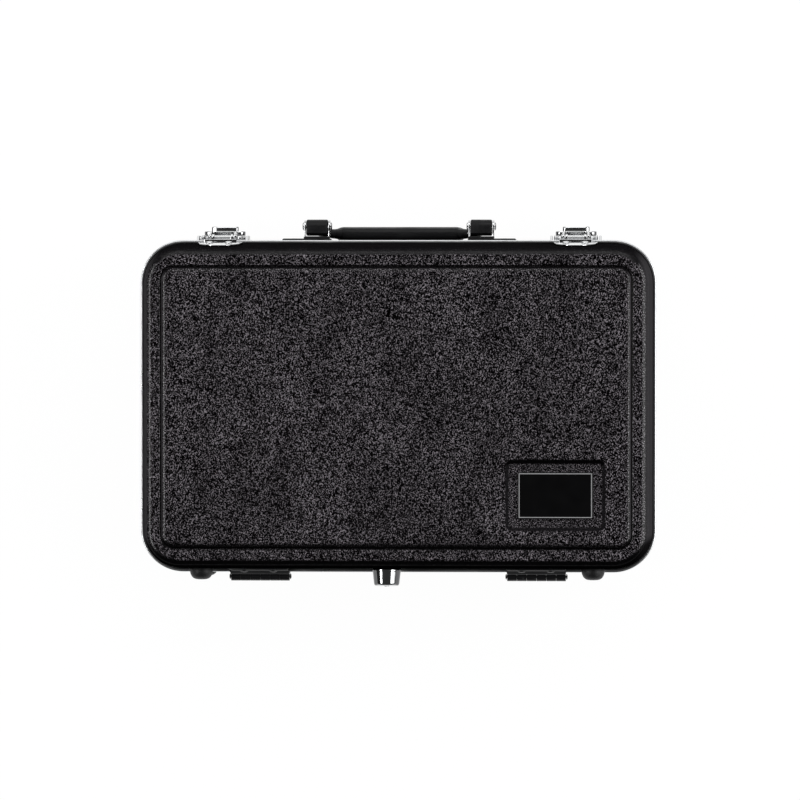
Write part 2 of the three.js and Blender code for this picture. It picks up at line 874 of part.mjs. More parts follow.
// Sections along the handle, each square to its path in the plane of the wall.
function handleBody() {
  const half = handleShares.map(([reach, way, drop, width, depth]) => ({
    x: reach * handleSpacing / 2,
    out: THREE.MathUtils.lerp(handlePivotOut, gripOut, way),
    height: -handlePivotDrop - drop * handleDrop,
    halfWidth: width * gripWidth / 2,
    halfDepth: depth * gripDepth / 2,
  }));
  const mirrored = half.slice(0, -1).reverse().map(point => ({ ...point, x: -point.x }));
  const stations = [...half, ...mirrored];
  const rings = stations.map((station, i) => {
    const before = stations[Math.max(i - 1, 0)];
    const after = stations[Math.min(i + 1, stations.length - 1)];
    const along = new THREE.Vector2(after.x - before.x, after.height - before.height).normalize();
    return handleSectionShares.map(([across, deep]) => new THREE.Vector3(
      station.x - along.y * across * station.halfWidth,
      -station.out - deep * station.halfDepth,
      station.height + along.x * across * station.halfWidth,
    ));
  });
  const bosses = [-1, 1].flatMap(side => {
    const middle = side * handleSpacing / 2;
    const back = rod(bossBack, bossWidth, handlePivotOut, -handlePivotDrop, middle);
    const towardsWall = acrossWall([
      [handlePivotOut - bossBack, -handlePivotDrop - bossRadius],
      [handlePivotOut, -handlePivotDrop - bossRadius],
      [handlePivotOut, -handlePivotDrop + bossRadius],
      [handlePivotOut - bossBack, -handlePivotDrop + bossRadius],
    ], bossWidth, middle);
    return [
      rod(bossRadius, bossWidth, handlePivotOut, -handlePivotDrop, middle),
      back.intersect(towardsWall),
    ];
  });
  return joined([loft(rings), ...bosses]).subtract(
    rod(handlePinRadius + fitGap, shellLength, handlePivotOut, -handlePivotDrop),
  );
}

// One hinge leaf: half is -1 for the lower leaf and 1 for the upper one.
function hingeLeaf(half) {
  const clear = hingeBarrel + hingeKnuckleClear;
  const skirtEnd = skirtHeight + fitGap;
  const inner = [
    [overValance, clear],
    [overValance, skirtEnd],
    [wallOut(skirtEnd + hingeLeafJog) + fitGap, skirtEnd + hingeLeafJog],
    [wallOut(hingeLeafFoot) + fitGap, hingeLeafFoot],
  ];
  const outer = inner.map(([out, height]) => [out + hingeLeafThickness, height]).reverse();
  const outline = [...inner, ...outer].map(([out, height]) => [out, half * height]);
  const leaf = [acrossWall(outline, hingeWidth)];
  const pitch = hingeWidth / hingeKnuckles;
  const link = [
    [overValance, 0],
    [overValance + hingeLeafThickness, 0],
    [overValance + hingeLeafThickness, half * (clear + hingeKnuckleClear)],
    [overValance, half * (clear + hingeKnuckleClear)],
  ];
  for (let knuckle = half > 0 ? 1 : 0; knuckle < hingeKnuckles; knuckle += 2) {
    const x = (knuckle + 0.5) * pitch - hingeWidth / 2;
    leaf.push(acrossWall(link, pitch - fitGap, x));
    leaf.push(rod(hingeBarrel, pitch - fitGap, hingeAxisOut, 0, x));
  }
  return cutBy(joined(leaf), [
    pinHole(hingePinRadius, hingeWidth, hingeAxisOut, 0),
    ...hingeRivets(half).map(([x, height]) => rivetHole(x, height, hingeLeafThickness)),
  ]);
}

function hingePin() {
  return headedPin(
    hingePinRadius, hingeWidth, hingePinHead, hingePinHeadThickness, hingeAxisOut, 0,
  );
}

function rubberFoot() {
  return turned([
    [0, fitGap],
    [footRadius, fitGap],
    [footRadius, footRim],
    [footRadius - (footRadius - footTipRadius) / 4, (footRim + footHeight) / 2],
    [footTipRadius, footHeight - fitGap],
    [0, footHeight],
  ], footSides);
}

function centreFoot() {
  return turned([
    [0, fitGap],
    [centreFootRadius, fitGap],
    [centreFootRadius, fitGap + centreFootRound],
    [centreFootTip + centreFootRound / 2, centreFootHeight - centreFootRound],
    [centreFootTip - centreFootRound / 2, centreFootHeight],
    [centreFootBore, centreFootHeight],
    [centreFootBore, centreFootHeight - centreFootBoreDepth],
    [0, centreFootHeight - centreFootBoreDepth],
  ], footSides);
}

function centreFootStud() {
  const seat = centreFootHeight - centreFootBoreDepth + fitGap;
  return turned([
    [0, seat],
    [studRadius, seat],
    [studRadius, seat + studHeight - studNubHeight],
    [studNub, seat + studHeight - studNubHeight],
    [studNub, seat + studHeight],
    [0, seat + studHeight],
  ], footSides);
}

function wallFrame(x, side) {
  const frame = new THREE.Group();
  frame.position.set(x, side * shellWidth / 2, baseDepth);
  frame.rotation.z = side > 0 ? Math.PI : 0;
  frame.updateMatrix();
  return frame;
}

function inWorld(solid, frame) {
  return solid.transform(frame.matrix.toArray());
}

// Fits the rivets of one plate and returns the holes they need in the shell; seatAt gives the
// plate's outside at a height.
function fitRivets(frame, names, places, seatAt, metal = materials.chrome) {
  return places.map(([x, height], i) => {
    const shank = rivet(seatAt(height));
    stoodOnWall(addPiece(frame, names[i], shank, metal), x, height);
    return inWorld(rivetHole(x, height, seatAt(height)), frame);
  });
}

function pair(prefix, suffix = '') {
  return [1, 2].map(number => `${prefix}_${number}${suffix}`);
}

const clarinetCase = new THREE.Group();
const baseHoles = [];
const lidHoles = [];

for (const [side, end] of [[-1, 'left'], [1, 'right']]) {
  const latch = wallFrame(side * latchPlaceShare * shellLength / 2, -1);
  addPiece(latch, `latch_base_${end}`, latchBase(), materials.chrome);
  addPiece(latch, `latch_pivot_pin_${end}`, headedPin(
    latchPivotRadius, leverWidth, pinHeadRadius, pinHeadThickness, latchPivotOut, -latchPivotDrop,
  ), materials.chrome);
  addPiece(latch, `latch_lever_${end}`, latchLever(), materials.chrome);
  addPiece(latch, `latch_hook_pin_${end}`, headedPin(
    hookPinRadius, hookWidth, pinHeadRadius, pinHeadThickness, hookPinOut, hookPinHeight,
  ), materials.chrome);
  addPiece(latch, `latch_hook_${end}`, latchHook(), materials.chrome);
  addPiece(latch, `keeper_${end}`, keeper(), materials.chrome);
  baseHoles.push(...fitRivets(
    latch, pair(`latch_rivet_${end}`), latchRivets, () => latchPlateThickness,
  ));
  lidHoles.push(...fitRivets(
    latch, pair(`keeper_rivet_${end}`), keeperRivets, () => keeperThickness,
  ));

  const mount = wallFrame(0, -1);
  addPiece(mount, `handle_plinth_${end}`, handlePlinth(side), materials.handle);
  addPiece(mount, `handle_clip_${end}`, handleClip(side), materials.chrome);
  const pin = addPiece(mount, `handle_pin_${end}`, handlePin(), materials.chrome);
  pin.position.x = side * handleSpacing / 2;
  baseHoles.push(...fitRivets(
    mount, pair(`handle_rivet_${end}`), handleRivets(side), handleRivetSeat,
  ));

  const hinge = wallFrame(side * hingePlaceShare * shellLength / 2, 1);
  addPiece(hinge, `hinge_lower_leaf_${end}`, hingeLeaf(-1), materials.blackSteel);
  addPiece(hinge, `hinge_upper_leaf_${end}`, hingeLeaf(1), materials.blackSteel);
  addPiece(hinge, `hinge_pin_${end}`, hingePin(), materials.blackSteel);
  baseHoles.push(...fitRivets(
    hinge, pair(`hinge_lower_rivet_${end}`), hingeRivets(-1), () => hingeLeafThickness,
    materials.blackSteel,
  ));
  lidHoles.push(...fitRivets(
    hinge, pair(`hinge_upper_rivet_${end}`), hingeRivets(1), () => hingeLeafThickness,
    materials.blackSteel,
  ));

  const feet = wallFrame(side * footPlaceShare * shellLength / 2, 1);
  const lower = addPiece(feet, `lower_foot_${end}`, rubberFoot(), materials.rubber);
  stoodOnWall(lower, 0, -footDrop);
  const upper = addPiece(feet, `upper_foot_${end}`, rubberFoot(), materials.rubber);
  stoodOnWall(upper, 0, footDrop);
  clarinetCase.add(latch, mount, hinge, feet);
}

const centre = wallFrame(centreFootShift, 1);
stoodOnWall(addPiece(centre, 'centre_foot', centreFoot(), materials.chrome), 0, centreFootRise);
stoodOnWall(
  addPiece(centre, 'centre_foot_stud', centreFootStud(), materials.chrome), 0, centreFootRise,
);
const grip = wallFrame(0, -1);
addPiece(grip, 'handle', handleBody(), materials.handle);
clarinetCase.add(centre, grip);

addPiece(clarinetCase, 'bottom_shell', bottomShell(baseHoles), materials.shell);
addPiece(clarinetCase, 'lid_shell', lidShell(lidHoles), materials.shell);
addPiece(clarinetCase, 'bottom_valance', bottomValance(), materials.aluminium);
addPiece(clarinetCase, 'lid_valance', lidValance(), materials.aluminium);
addPiece(clarinetCase, 'instrument_tray', instrumentTray(), materials.plush);
addPiece(clarinetCase, 'lid_lining', lidLining(), materials.plush);
addPiece(clarinetCase, 'nameplate', nameplate(), materials.plate);

export default clarinetCase;
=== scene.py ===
import math

import bmesh
import bpy
from mathutils import Matrix, Vector


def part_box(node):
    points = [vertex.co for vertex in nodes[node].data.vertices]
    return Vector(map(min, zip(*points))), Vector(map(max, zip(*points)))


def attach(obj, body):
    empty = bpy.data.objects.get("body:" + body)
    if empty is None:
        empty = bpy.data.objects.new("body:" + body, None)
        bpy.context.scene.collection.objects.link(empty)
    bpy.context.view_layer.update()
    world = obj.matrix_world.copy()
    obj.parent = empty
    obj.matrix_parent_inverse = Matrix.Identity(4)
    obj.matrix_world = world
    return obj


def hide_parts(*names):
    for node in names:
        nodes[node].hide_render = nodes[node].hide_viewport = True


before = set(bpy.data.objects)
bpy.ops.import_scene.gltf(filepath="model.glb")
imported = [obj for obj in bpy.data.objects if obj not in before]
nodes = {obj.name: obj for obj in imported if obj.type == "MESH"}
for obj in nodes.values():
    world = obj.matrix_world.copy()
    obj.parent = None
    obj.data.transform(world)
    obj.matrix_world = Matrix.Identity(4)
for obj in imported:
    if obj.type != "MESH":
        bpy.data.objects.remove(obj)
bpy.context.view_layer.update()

scene = bpy.context.scene
sides = {"left": -1, "right": 1}
quarterTurn = math.pi / 2
weld = 1e-6  # points this near are one
print("frame loaded:", len(nodes), "nodes")


class Link:  # one output of a node; sums and products of links add Math nodes
    def __init__(self, net, node, output=0):
        self.net = net
        self.node = node
        self.socket = node.outputs[output]

    def __getitem__(self, output):
        return Link(self.net, self.node, output)

    def maths(self, operation, *others):
        return self.net.add("ShaderNodeMath", [self, *others], operation=operation)

    def __add__(self, other):
        return self.maths("ADD", other)

    def __sub__(self, other):
        return self.maths("SUBTRACT", other)

    def __rsub__(self, other):
        return self.net.add("ShaderNodeMath", [other, self], operation="SUBTRACT")

    def __mul__(self, other):
        return self.maths("MULTIPLY", other)

    def __pow__(self, other):
        return self.maths("POWER", other)

    __radd__ = __add__


class Net:  # a node tree that is filled by one method
    def __init__(self, tree):
        self.tree = tree
        tree.nodes.clear()

    def add(self, kind, values=(), **settings):
        node = self.tree.nodes.new(kind)
        for key, value in settings.items():
            setattr(node, key, value)
        pairs = values.items() if isinstance(values, dict) else enumerate(values)
        for key, value in pairs:
            if isinstance(value, Link):
                self.tree.links.new(value.socket, node.inputs[key])
            elif value is not None:
                node.inputs[key].default_value = value
        return Link(self, node) if node.outputs else node

    def blend(self, mask, low, high):
        return self.add("ShaderNodeMix", {0: mask, 6: low, 7: high}, data_type="RGBA")[2]

    def step(self, value, start, end):
        return self.add("ShaderNodeMapRange", [value, start, end], interpolation_type="SMOOTHSTEP")

    def noise(self, place, scale, detail=2, roughness=0.5):
        values = {"Vector": place, "Scale": scale, "Detail": detail, "Roughness": roughness}
        return self.add("ShaderNodeTexNoise", values)


def rgb(red, green, blue):
    return (red, green, blue, 1)


def newMaterial(name, paint, **constants):
    material = bpy.data.materials.new(name)
    material.use_nodes = True
    net = Net(material.node_tree)
    place = net.add("ShaderNodeTexCoord")["Object"]
    links = paint(net, place)
    shader = net.add("ShaderNodeBsdfPrincipled", {**constants, **links})
    net.add("ShaderNodeOutputMaterial", {"Surface": shader})
    return material


def bumped(net, height, distance):
    values = {"Strength": 1, "Distance": distance, "Height": height}
    return net.add("ShaderNodeBump", values)["Normal"]


def stretched(net, place, scale):
    return net.add("ShaderNodeMapping", {"Vector": place, "Scale": scale})


fitGap = 0.0003  # between any two pieces that are set on each other
recessSizes = {
    "x": -0.1072, "y": 0.0588, "length": 0.069, "width": 0.0495, "corner": 0.003,
    "depth": 0.0018, "slope": 0.004, "steps": 8, "leastCorner": 0.0008, "cornerShare": 0.6,
    "profile": [(1, 1), (0.86, 0.96), (0.7, 0.82), (0.42, 0.36), (0.25, 0.13), (0.1, 0.03)],
    "over": [(0, 0.00002), (-0.0002, 0.001)],  # the cutter's rim above the panel
}

# Moulded grain: short wrinkles with bright backs and dark valleys, and almost none on the walls.
# The bright backs are partly grain and partly painted highlight, standing for the lamps' glints on
# it.
# The shift down puts panel and ring alike between two layers of the noise. wrinkleDetail is the
# noise's detail and roughness. Every other pair is where a mask starts and ends: by the noise,
# by how much a face looks up or to the side, or by its place on the case.
# Painted light in this table: the end-wall tone is painted lighter where the side lamps fall, the
# wall tone paints shade on steep faces of the groove and the recess, and the groove and rear shades
# paint shade into the crease groove and onto slopes that face the hinge side.
grain = {
    "wrinkleScale": 1500, "wrinkleStretch": (1.15, 0.88, 0.60606), "shift": (0, 0, -0.000272),
    "wrinkleDetail": (1.5, 0.45), "ridge": (0.51, 0.67), "relief": 0.00022, "fineScale": 2600,
    "cloudScale": 45, "cloudStretch": (1, 0.45, 1), "cloud": (0.3, 0.75), "cloudShare": 0.45,
    "dark": rgb(0.0004, 0.0003, 0.0004), "bright": rgb(0.305, 0.28, 0.307),
    "wall": rgb(0.007, 0.0065, 0.0073), "endWall": rgb(0.046, 0.044, 0.047),
    "wallGrain": 0.06, "wallRelief": 0.08, "fineRelief": 0.08,
    "panelSlope": (0.7, 0.92), "rimSlope": (0.935, 0.988), "recessSlope": (0.87, 0.985),
    "rim": (0.0965, 0.0975), "fillet": (0.6, 0.8), "level": (0.97, 0.999),
    "endwise": (0.5, 0.9), "sideways": (-0.1, 0.1), "rear": (0.06, 0.35), "rearShade": 0.85,
    "lidFrom": 0.09, "recessEdge": 0.0005, "panelEnd": 0.1605, "middle": 0.05,
    "ringHeight": 0.0478, "groove": (0.00003, 0.0004), "grooveShade": 0.8,
    "frontGloss": 0.6, "valleyGloss": 0.4, "roughness": 0.84, "filletPolish": 0.3,
}


def paintShell(net, place):
    facing = net.add("ShaderNodeSeparateXYZ", [net.add("ShaderNodeTexCoord")["Normal"]])
    spot = net.add("ShaderNodeSeparateXYZ", [place])
    endwise, upright = (facing[axis].maths("ABSOLUTE") for axis in "XZ")

    def within(axis, size):  # 1 between two opposite edges of the label recess
        off = (spot[axis] - recessSizes[axis.lower()]).maths("ABSOLUTE")
        return off.maths("LESS_THAN", recessSizes[size] / 2 - grain["recessEdge"])

    onLid = spot["Z"].maths("GREATER_THAN", grain["lidFrom"])
    sunk = within("X", "length") * within("Y", "width") * onLid
    sideways = net.step(endwise - facing["Y"].maths("ABSOLUTE"), *grain["sideways"])
    filleted = net.step(upright, *grain["fillet"])
    level = net.step(upright, *grain["level"])
    rim = net.step(spot["Y"].maths("ABSOLUTE"), *grain["rim"])

    def slopeLimit(i):
        panel = grain["panelSlope"][i]
        onRim, inRecess = grain["rimSlope"][i] - panel, grain["recessSlope"][i] - panel
        return panel + rim * onRim + sunk * inRecess

    flat = net.step(upright, slopeLimit(0), slopeLimit(1))
    worked = net.add("ShaderNodeMapping", {
        "Vector": place, "Location": grain["shift"], "Scale": grain["wrinkleStretch"],
    })
    wrinkle = net.noise(worked, grain["wrinkleScale"], *grain["wrinkleDetail"])
    ridge = net.step(wrinkle, *grain["ridge"])
    cloud = net.noise(stretched(net, place, grain["cloudStretch"]), grain["cloudScale"], 3)
    clouded = net.step(cloud, *grain["cloud"]) * grain["cloudShare"]
    # The bright wrinkle backs are partly painted highlight: they stand for the lamps' glints on the
    # grain
    tone = net.blend(clouded, net.blend(ridge, grain["dark"], grain["bright"]), grain["dark"])
    # Painted light: walls that face the ends of the case, towards the side lamps, are painted a
    # lighter tone
    wall = net.blend(net.step(endwise, *grain["endwise"]), grain["wall"], grain["endWall"])
    # Steep faces take the wall tone instead of the grain; on the groove's steep parts and the
    # recess walls this is painted shade
    skin = net.blend(flat * (1 - grain["wallGrain"]) + grain["wallGrain"], wall, tone)
    deep = grain["ringHeight"] - (spot["Z"] - grain["middle"]).maths("ABSOLUTE")
    onPanel = spot["X"].maths("ABSOLUTE").maths("LESS_THAN", grain["panelEnd"]) * (1 - rim)
    # Painted shade: the crease groove below the ring is painted dark
    grooveShadeMask = net.step(deep, *grain["groove"]) * onPanel * grain["grooveShade"]
    # Painted shade: slopes that face the hinge side, away from the key light, are painted dark
    rearShadeMask = net.step(facing["Y"], *grain["rear"]) * grain["rearShade"]
    gloss = sideways * (1 - grain["frontGloss"]) + grain["frontGloss"]
    worn = ridge * (1 - grain["valleyGloss"]) + grain["valleyGloss"]
    fine = net.noise(place, grain["fineScale"], 1)
    embossed = ridge * (flat * (1 - grain["wallRelief"]) + grain["wallRelief"])
    return {
        # The groove and the hinge-side slopes get their painted shade here
        "Base Color": net.blend(grooveShadeMask.maths("MAXIMUM", rearShadeMask), skin, grain["dark"]),
        "Roughness": grain["roughness"] - filleted * grain["filletPolish"],
        "Coat Weight": gloss * filleted * (1 - level) * (1 - sunk) * worn,
        "Normal": bumped(net, embossed + fine * grain["fineRelief"], grain["relief"]),
    }


extrusion = {
    "lineScale": 2400, "lineStretch": (0.02, 0.02, 1), "handledScale": 60,
    "dull": rgb(0.62, 0.63, 0.64), "bright": rgb(0.8, 0.81, 0.82), "relief": 0.00002,
}


def paintAluminium(net, place):
    drawn = stretched(net, place, extrusion["lineStretch"])
    lines = net.noise(drawn, extrusion["lineScale"], 3, 0.6)
    handled = net.noise(place, extrusion["handledScale"], 3)
    return {
        "Base Color": net.blend(lines, extrusion["dull"], extrusion["bright"]),
        "Roughness": 0.24 + lines * 0.1 + net.step(handled, 0.5, 0.8) * 0.1,
        "Normal": bumped(net, lines, extrusion["relief"]),
    }


# The ends of the chromed fittings stand against dark surroundings; that dark reflection is painted
# into their colour, near black on faces that look along the case
plating = {
    "rubbedScale": 140, "scratchScale": 3000, "scratchStretch": (1, 0.08, 1),
    "dull": rgb(0.7, 0.71, 0.72), "bright": rgb(0.84, 0.845, 0.85),
    # end is the painted dark reflection, not a colour of the plating
    "end": rgb(0.05, 0.05, 0.052), "endwise": (0.25, 0.8), "endShare": 0.9, "relief": 0.000008,
}


def paintChrome(net, place):
    rubbed = net.noise(place, plating["rubbedScale"], 4, 0.6)
    wiped = stretched(net, place, plating["scratchStretch"])
    scratches = net.noise(wiped, plating["scratchScale"], 1)
    facing = net.add("ShaderNodeSeparateXYZ", [net.add("ShaderNodeTexCoord")["Normal"]])
    # Painted reflection: faces turned along the case are darkened in the base colour
    paintedDarkReflection = net.step(facing["X"].maths("ABSOLUTE"), *plating["endwise"]) * plating["endShare"]
    plated = net.blend(rubbed, plating["dull"], plating["bright"])
    return {
        "Base Color": net.blend(paintedDarkReflection, plated, plating["end"]),
        "Roughness": 0.07 + net.step(rubbed, 0.45, 0.75) * 0.1 + scratches * 0.03,
        "Normal": bumped(net, scratches, plating["relief"]),
    }


# Plain finishes: scale, detail and roughness of the mottle, its mask, the two tones between
# which it runs, scale and detail of a finer noise, and the depth of the relief
plainFinishes = {
    "blackSteel": {
        "mottle": (260, 4, 0.7), "mask": (0.62, 0.72), "low": rgb(0.009, 0.009, 0.01),
        "high": rgb(0.05, 0.05, 0.052), "fine": (900, 2), "relief": 0.00005,
    },
    "handle": {
        "mottle": (700, 3, 0.6), "low": rgb(0.003, 0.003, 0.0035),
        "high": rgb(0.012, 0.012, 0.013), "cloud": (60, 3), "relief": 0.00016,
    },
    "rubber": {
        "mottle": (420, 4, 0.65), "mask": (0.5, 0.8), "low": rgb(0.006, 0.006, 0.0065),
        "high": rgb(0.022, 0.022, 0.022), "fine": (2500, 1), "relief": 0.00004,
    },
    "plate": {
        "mottle": (90, 3), "low": rgb(0.001, 0.001, 0.0012), "high": rgb(0.003, 0.003, 0.0033),
        "fine": (3000, 1), "relief": 0.00001,
    },
    "border": {
        "mottle": (800, 2), "low": rgb(0.24, 0.24, 0.245), "high": rgb(0.42, 0.42, 0.43),
    },
}


def paintBlackSteel(net, place):
    f = plainFinishes["blackSteel"]
    peel = net.noise(place, *f["fine"])
    worn = net.step(net.noise(place, *f["mottle"]), *f["mask"])
    return {
        "Base Color": net.blend(worn, f["low"], f["high"]),
        "Roughness": 0.26 + peel * 0.12,
        "Normal": bumped(net, peel, f["relief"]),
    }


def paintHandle(net, place):
    f = plainFinishes["handle"]
    mottle = net.noise(place, *f["mottle"])
    cloud = net.noise(place, *f["cloud"])
    return {
        "Base Color": net.blend(mottle, f["low"], f["high"]),
        "Roughness": 0.3 + net.step(cloud, 0.35, 0.7) * 0.2 + mottle * 0.08,
        "Normal": bumped(net, mottle, f["relief"]),
    }


def paintRubber(net, place):
    f = plainFinishes["rubber"]
    dust = net.noise(place, *f["mottle"])
    return {
        "Base Color": net.blend(net.step(dust, *f["mask"]), f["low"], f["high"]),
        "Roughness": 0.42 + dust * 0.2,
        "Normal": bumped(net, net.noise(place, *f["fine"]), f["relief"]),
    }


def paintPlate(net, place):
    f = plainFinishes["plate"]
    smear = net.noise(place, *f["mottle"])
    return {
        "Base Color": net.blend(smear, f["low"], f["high"]),
        "Roughness": 0.16 + smear * 0.08,
        "Normal": bumped(net, net.noise(place, *f["fine"]), f["relief"]),
    }


def paintBorder(net, place):
    f = plainFinishes["border"]
    ink = net.noise(place, *f["mottle"])
    return {"Base Color": net.blend(ink, f["low"], f["high"]), "Roughness": 0.4 + ink * 0.1}


plush = {
    "pile": (1500, 2, 0.6), "nap": (55, 4, 0.6), "napStretch": (1, 0.6, 1), "stroke": (0.38, 0.66),
    "deep": rgb(0.004, 0.0037, 0.005), "tips": rgb(0.032, 0.03, 0.036),
    "stroked": rgb(0.05, 0.047, 0.055), "relief": 0.0007,
}


def paintPlush(net, place):
    pile = net.noise(place, *plush["pile"])
    nap = net.noise(stretched(net, place, plush["napStretch"]), *plush["nap"])
    stroke = net.step(nap, *plush["stroke"])
    tone = net.blend(pile, plush["deep"], plush["tips"])
    return {
        "Base Color": net.blend(stroke * 0.5, tone, plush["stroked"]),
        "Roughness": 0.9 - stroke * 0.12,
        "Normal": bumped(net, pile + nap * 0.5, plush["relief"]),
    }


materials = {
    "shell": newMaterial("mouldedShell", paintShell, Metallic=0, **{
        "Specular IOR Level": 0, "Coat Roughness": 0.2,
    }),
    "aluminium": newMaterial("drawnAluminium", paintAluminium, Metallic=1),
    "chrome": newMaterial("chromePlating", paintChrome, Metallic=1),
    "blackSteel": newMaterial("blackSteel", paintBlackSteel, Metallic=0),
    "handle": newMaterial("handlePlastic", paintHandle, Metallic=0, **{"Specular IOR Level": 0.22}),
    "rubber": newMaterial("footRubber", paintRubber, Metallic=0),
    "plate": newMaterial("plateEnamel", paintPlate, Metallic=0),
    "border": newMaterial("plateBorder", paintBorder, Metallic=0),
    "plush": newMaterial("plushPile", paintPlush, Metallic=0, **{
        "Sheen Weight": 0.35, "Sheen Roughness": 0.45, "Specular IOR Level": 0.2,
    }),
}
print("materials made:", len(materials))


def linked(name, data):
    thing = bpy.data.objects.new(name, data)
    scene.collection.objects.link(thing)
    return thing


def setMaterial(piece, material):
    piece.data.materials.clear()
    piece.data.materials.append(materials[material])
    return piece


def smoothed(piece, angle=35):
    piece.data.shade_smooth()
    piece.data.set_sharp_from_angle(angle=math.radians(angle))
    return piece


def newPiece(name, mesh, material=None, smoothTo=35):
    piece = linked(name, mesh)
    if material:
        setMaterial(piece, material)
    return smoothed(piece, smoothTo)


def welded(work):
    bmesh.ops.remove_doubles(work, verts=work.verts, dist=weld)


def facedOut(work):
    bmesh.ops.recalc_face_normals(work, faces=work.faces)


def flatJoined(work):
    limit = math.radians(0.5)
    bmesh.ops.dissolve_limit(work, angle_limit=limit, verts=work.verts, edges=work.edges)


def reworked(mesh, *changes):
    work = bmesh.new()
    work.from_mesh(mesh)
    for change in changes:
        change(work)
    work.to_mesh(mesh)
    work.free()
    return mesh


def meshOf(name, points, faces):
    mesh = bpy.data.meshes.new(name)
    mesh.from_pydata([tuple(point) for point in points], [], faces)
    return reworked(mesh, welded, facedOut)


def loftMesh(name, rings, endless=False):
    count = len(rings[0])
    points = [point for ring in rings for point in ring]
    bands = len(rings) if endless else len(rings) - 1
    faces = []
    for band in range(bands):
        near = band * count
        far = (band + 1) % len(rings) * count
        for i in range(count):
            following = (i + 1) % count
            faces.append((near + i, near + following, far + following, far + i))
    if not endless:
        faces.append(tuple(range(count)))
        faces.append(tuple(range(len(points) - count, len(points))))
    return meshOf(name, points, faces)


def levelRing(size, inset, height, steps, least=0):  # size is length, width and corner
    length, width = (reach - 2 * inset for reach in size[:2])
    corner = max(size[2] - inset, least)
    points = []
    for quarter in range(4):
        xSide = 1 if quarter in (0, 3) else -1
        ySide = 1 if quarter < 2 else -1
        for step in range(steps + 1):
            angle = (quarter + step / steps) * quarterTurn
            x = xSide * (length / 2 - corner) + corner * math.cos(angle)
            y = ySide * (width / 2 - corner) + corner * math.sin(angle)
            points.append(Vector((x, y, height)))
    return points


def turnedMesh(name, profile, segments):  # radius and height pairs, turned about Z
    rings = []
    for radius, height in profile:
        turns = [2 * math.pi * i / segments for i in range(segments)]
        rings.append([Vector((radius * math.cos(a), radius * math.sin(a), height)) for a in turns])
    return loftMesh(name, rings)


def flattened(piece):  # the piece as its modifiers leave it, as a plain mesh
    graph = bpy.context.evaluated_depsgraph_get()
    mesh = bpy.data.meshes.new_from_object(piece.evaluated_get(graph), depsgraph=graph)
    piece.modifiers.clear()
    piece.data = reworked(mesh, facedOut)
    return piece


def modified(piece, kind, **settings):
    modifier = piece.modifiers.new(kind.lower(), kind)
    for key, value in settings.items():
        setattr(modifier, key, value)
    return modifier


def carved(piece, cutter, operation="DIFFERENCE"):
    modified(piece, "BOOLEAN", operation=operation, solver="EXACT", object=cutter)
    flattened(piece)
    bpy.data.objects.remove(cutter)
    return piece


def settle(piece, body, slotName, *stoodFor):
    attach(piece, body)
    if stoodFor:
        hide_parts(*stoodFor)
    return piece


def cadCopy(name, node):  # a CAD node's solid with its loose triangles joined into plain faces
    mesh = nodes[node].data.copy()
    mesh.name = name
    return reworked(mesh, welded, flatJoined)


shellSizes = {
    "length": 0.3462, "width": 0.2215, "parting": 0.054, "baseDepth": 0.054, "lidDepth": 0.046,
    "corner": 0.027, "wall": 0.003, "draft": math.radians(4.5), "edgeRadius": 0.0065,
    "innerRadius": 0.003, "rimSetBack": 0.00145, "panelRaise": 0.0022,
    "panelLength": 0.3164, "panelWidth": 0.1894, "panelCorner": 0.009, "panelSlope": 0.0055,
    "cornerSteps": 18, "edgeSteps": 10, "supportStep": 0.0004,
}
# Way in from the crease and rise of the panel's edge: a thin groove, a steep lip and a soft top
panelProfile = [
    (-0.0016, 0), (-0.0012, -0.00005), (-0.0009, -0.00018), (-0.0006, -0.0004),
    (-0.0003, -0.00066), (0, -0.0007), (0.0002, -0.0005), (0.0004, -0.0001), (0.0006, 0.0004),
    (0.0009, 0.0009), (0.0013, 0.00128), (0.0018, 0.00155), (0.0025, 0.00179), (0.0033, 0.00197),
    (0.0042, 0.0021), (0.0049, 0.00217), (0.0055, 0.0022),
]


def insetRing(inset, height):
    s = shellSizes
    return levelRing((s["length"], s["width"], s["corner"]), inset, height, s["cornerSteps"])


def edgeRound(wallInset, depth, radius, steps):
    draft = shellSizes["draft"]
    centreDepth = depth - radius
    wallDepth = centreDepth + radius * math.sin(draft)
    centreInset = wallInset + wallDepth * math.tan(draft) + radius * math.cos(draft)
    points = []
    for step in range(steps + 1):
        angle = draft + (quarterTurn - draft) * step / steps
        inset = centreInset - radius * math.cos(angle)
        points.append((inset, centreDepth + radius * math.sin(angle)))
    return points


def panelRing(inset, height):
    s = shellSizes
    size = (s["panelLength"], s["panelWidth"], s["panelCorner"])
    return levelRing(size, inset, height, s["cornerSteps"])


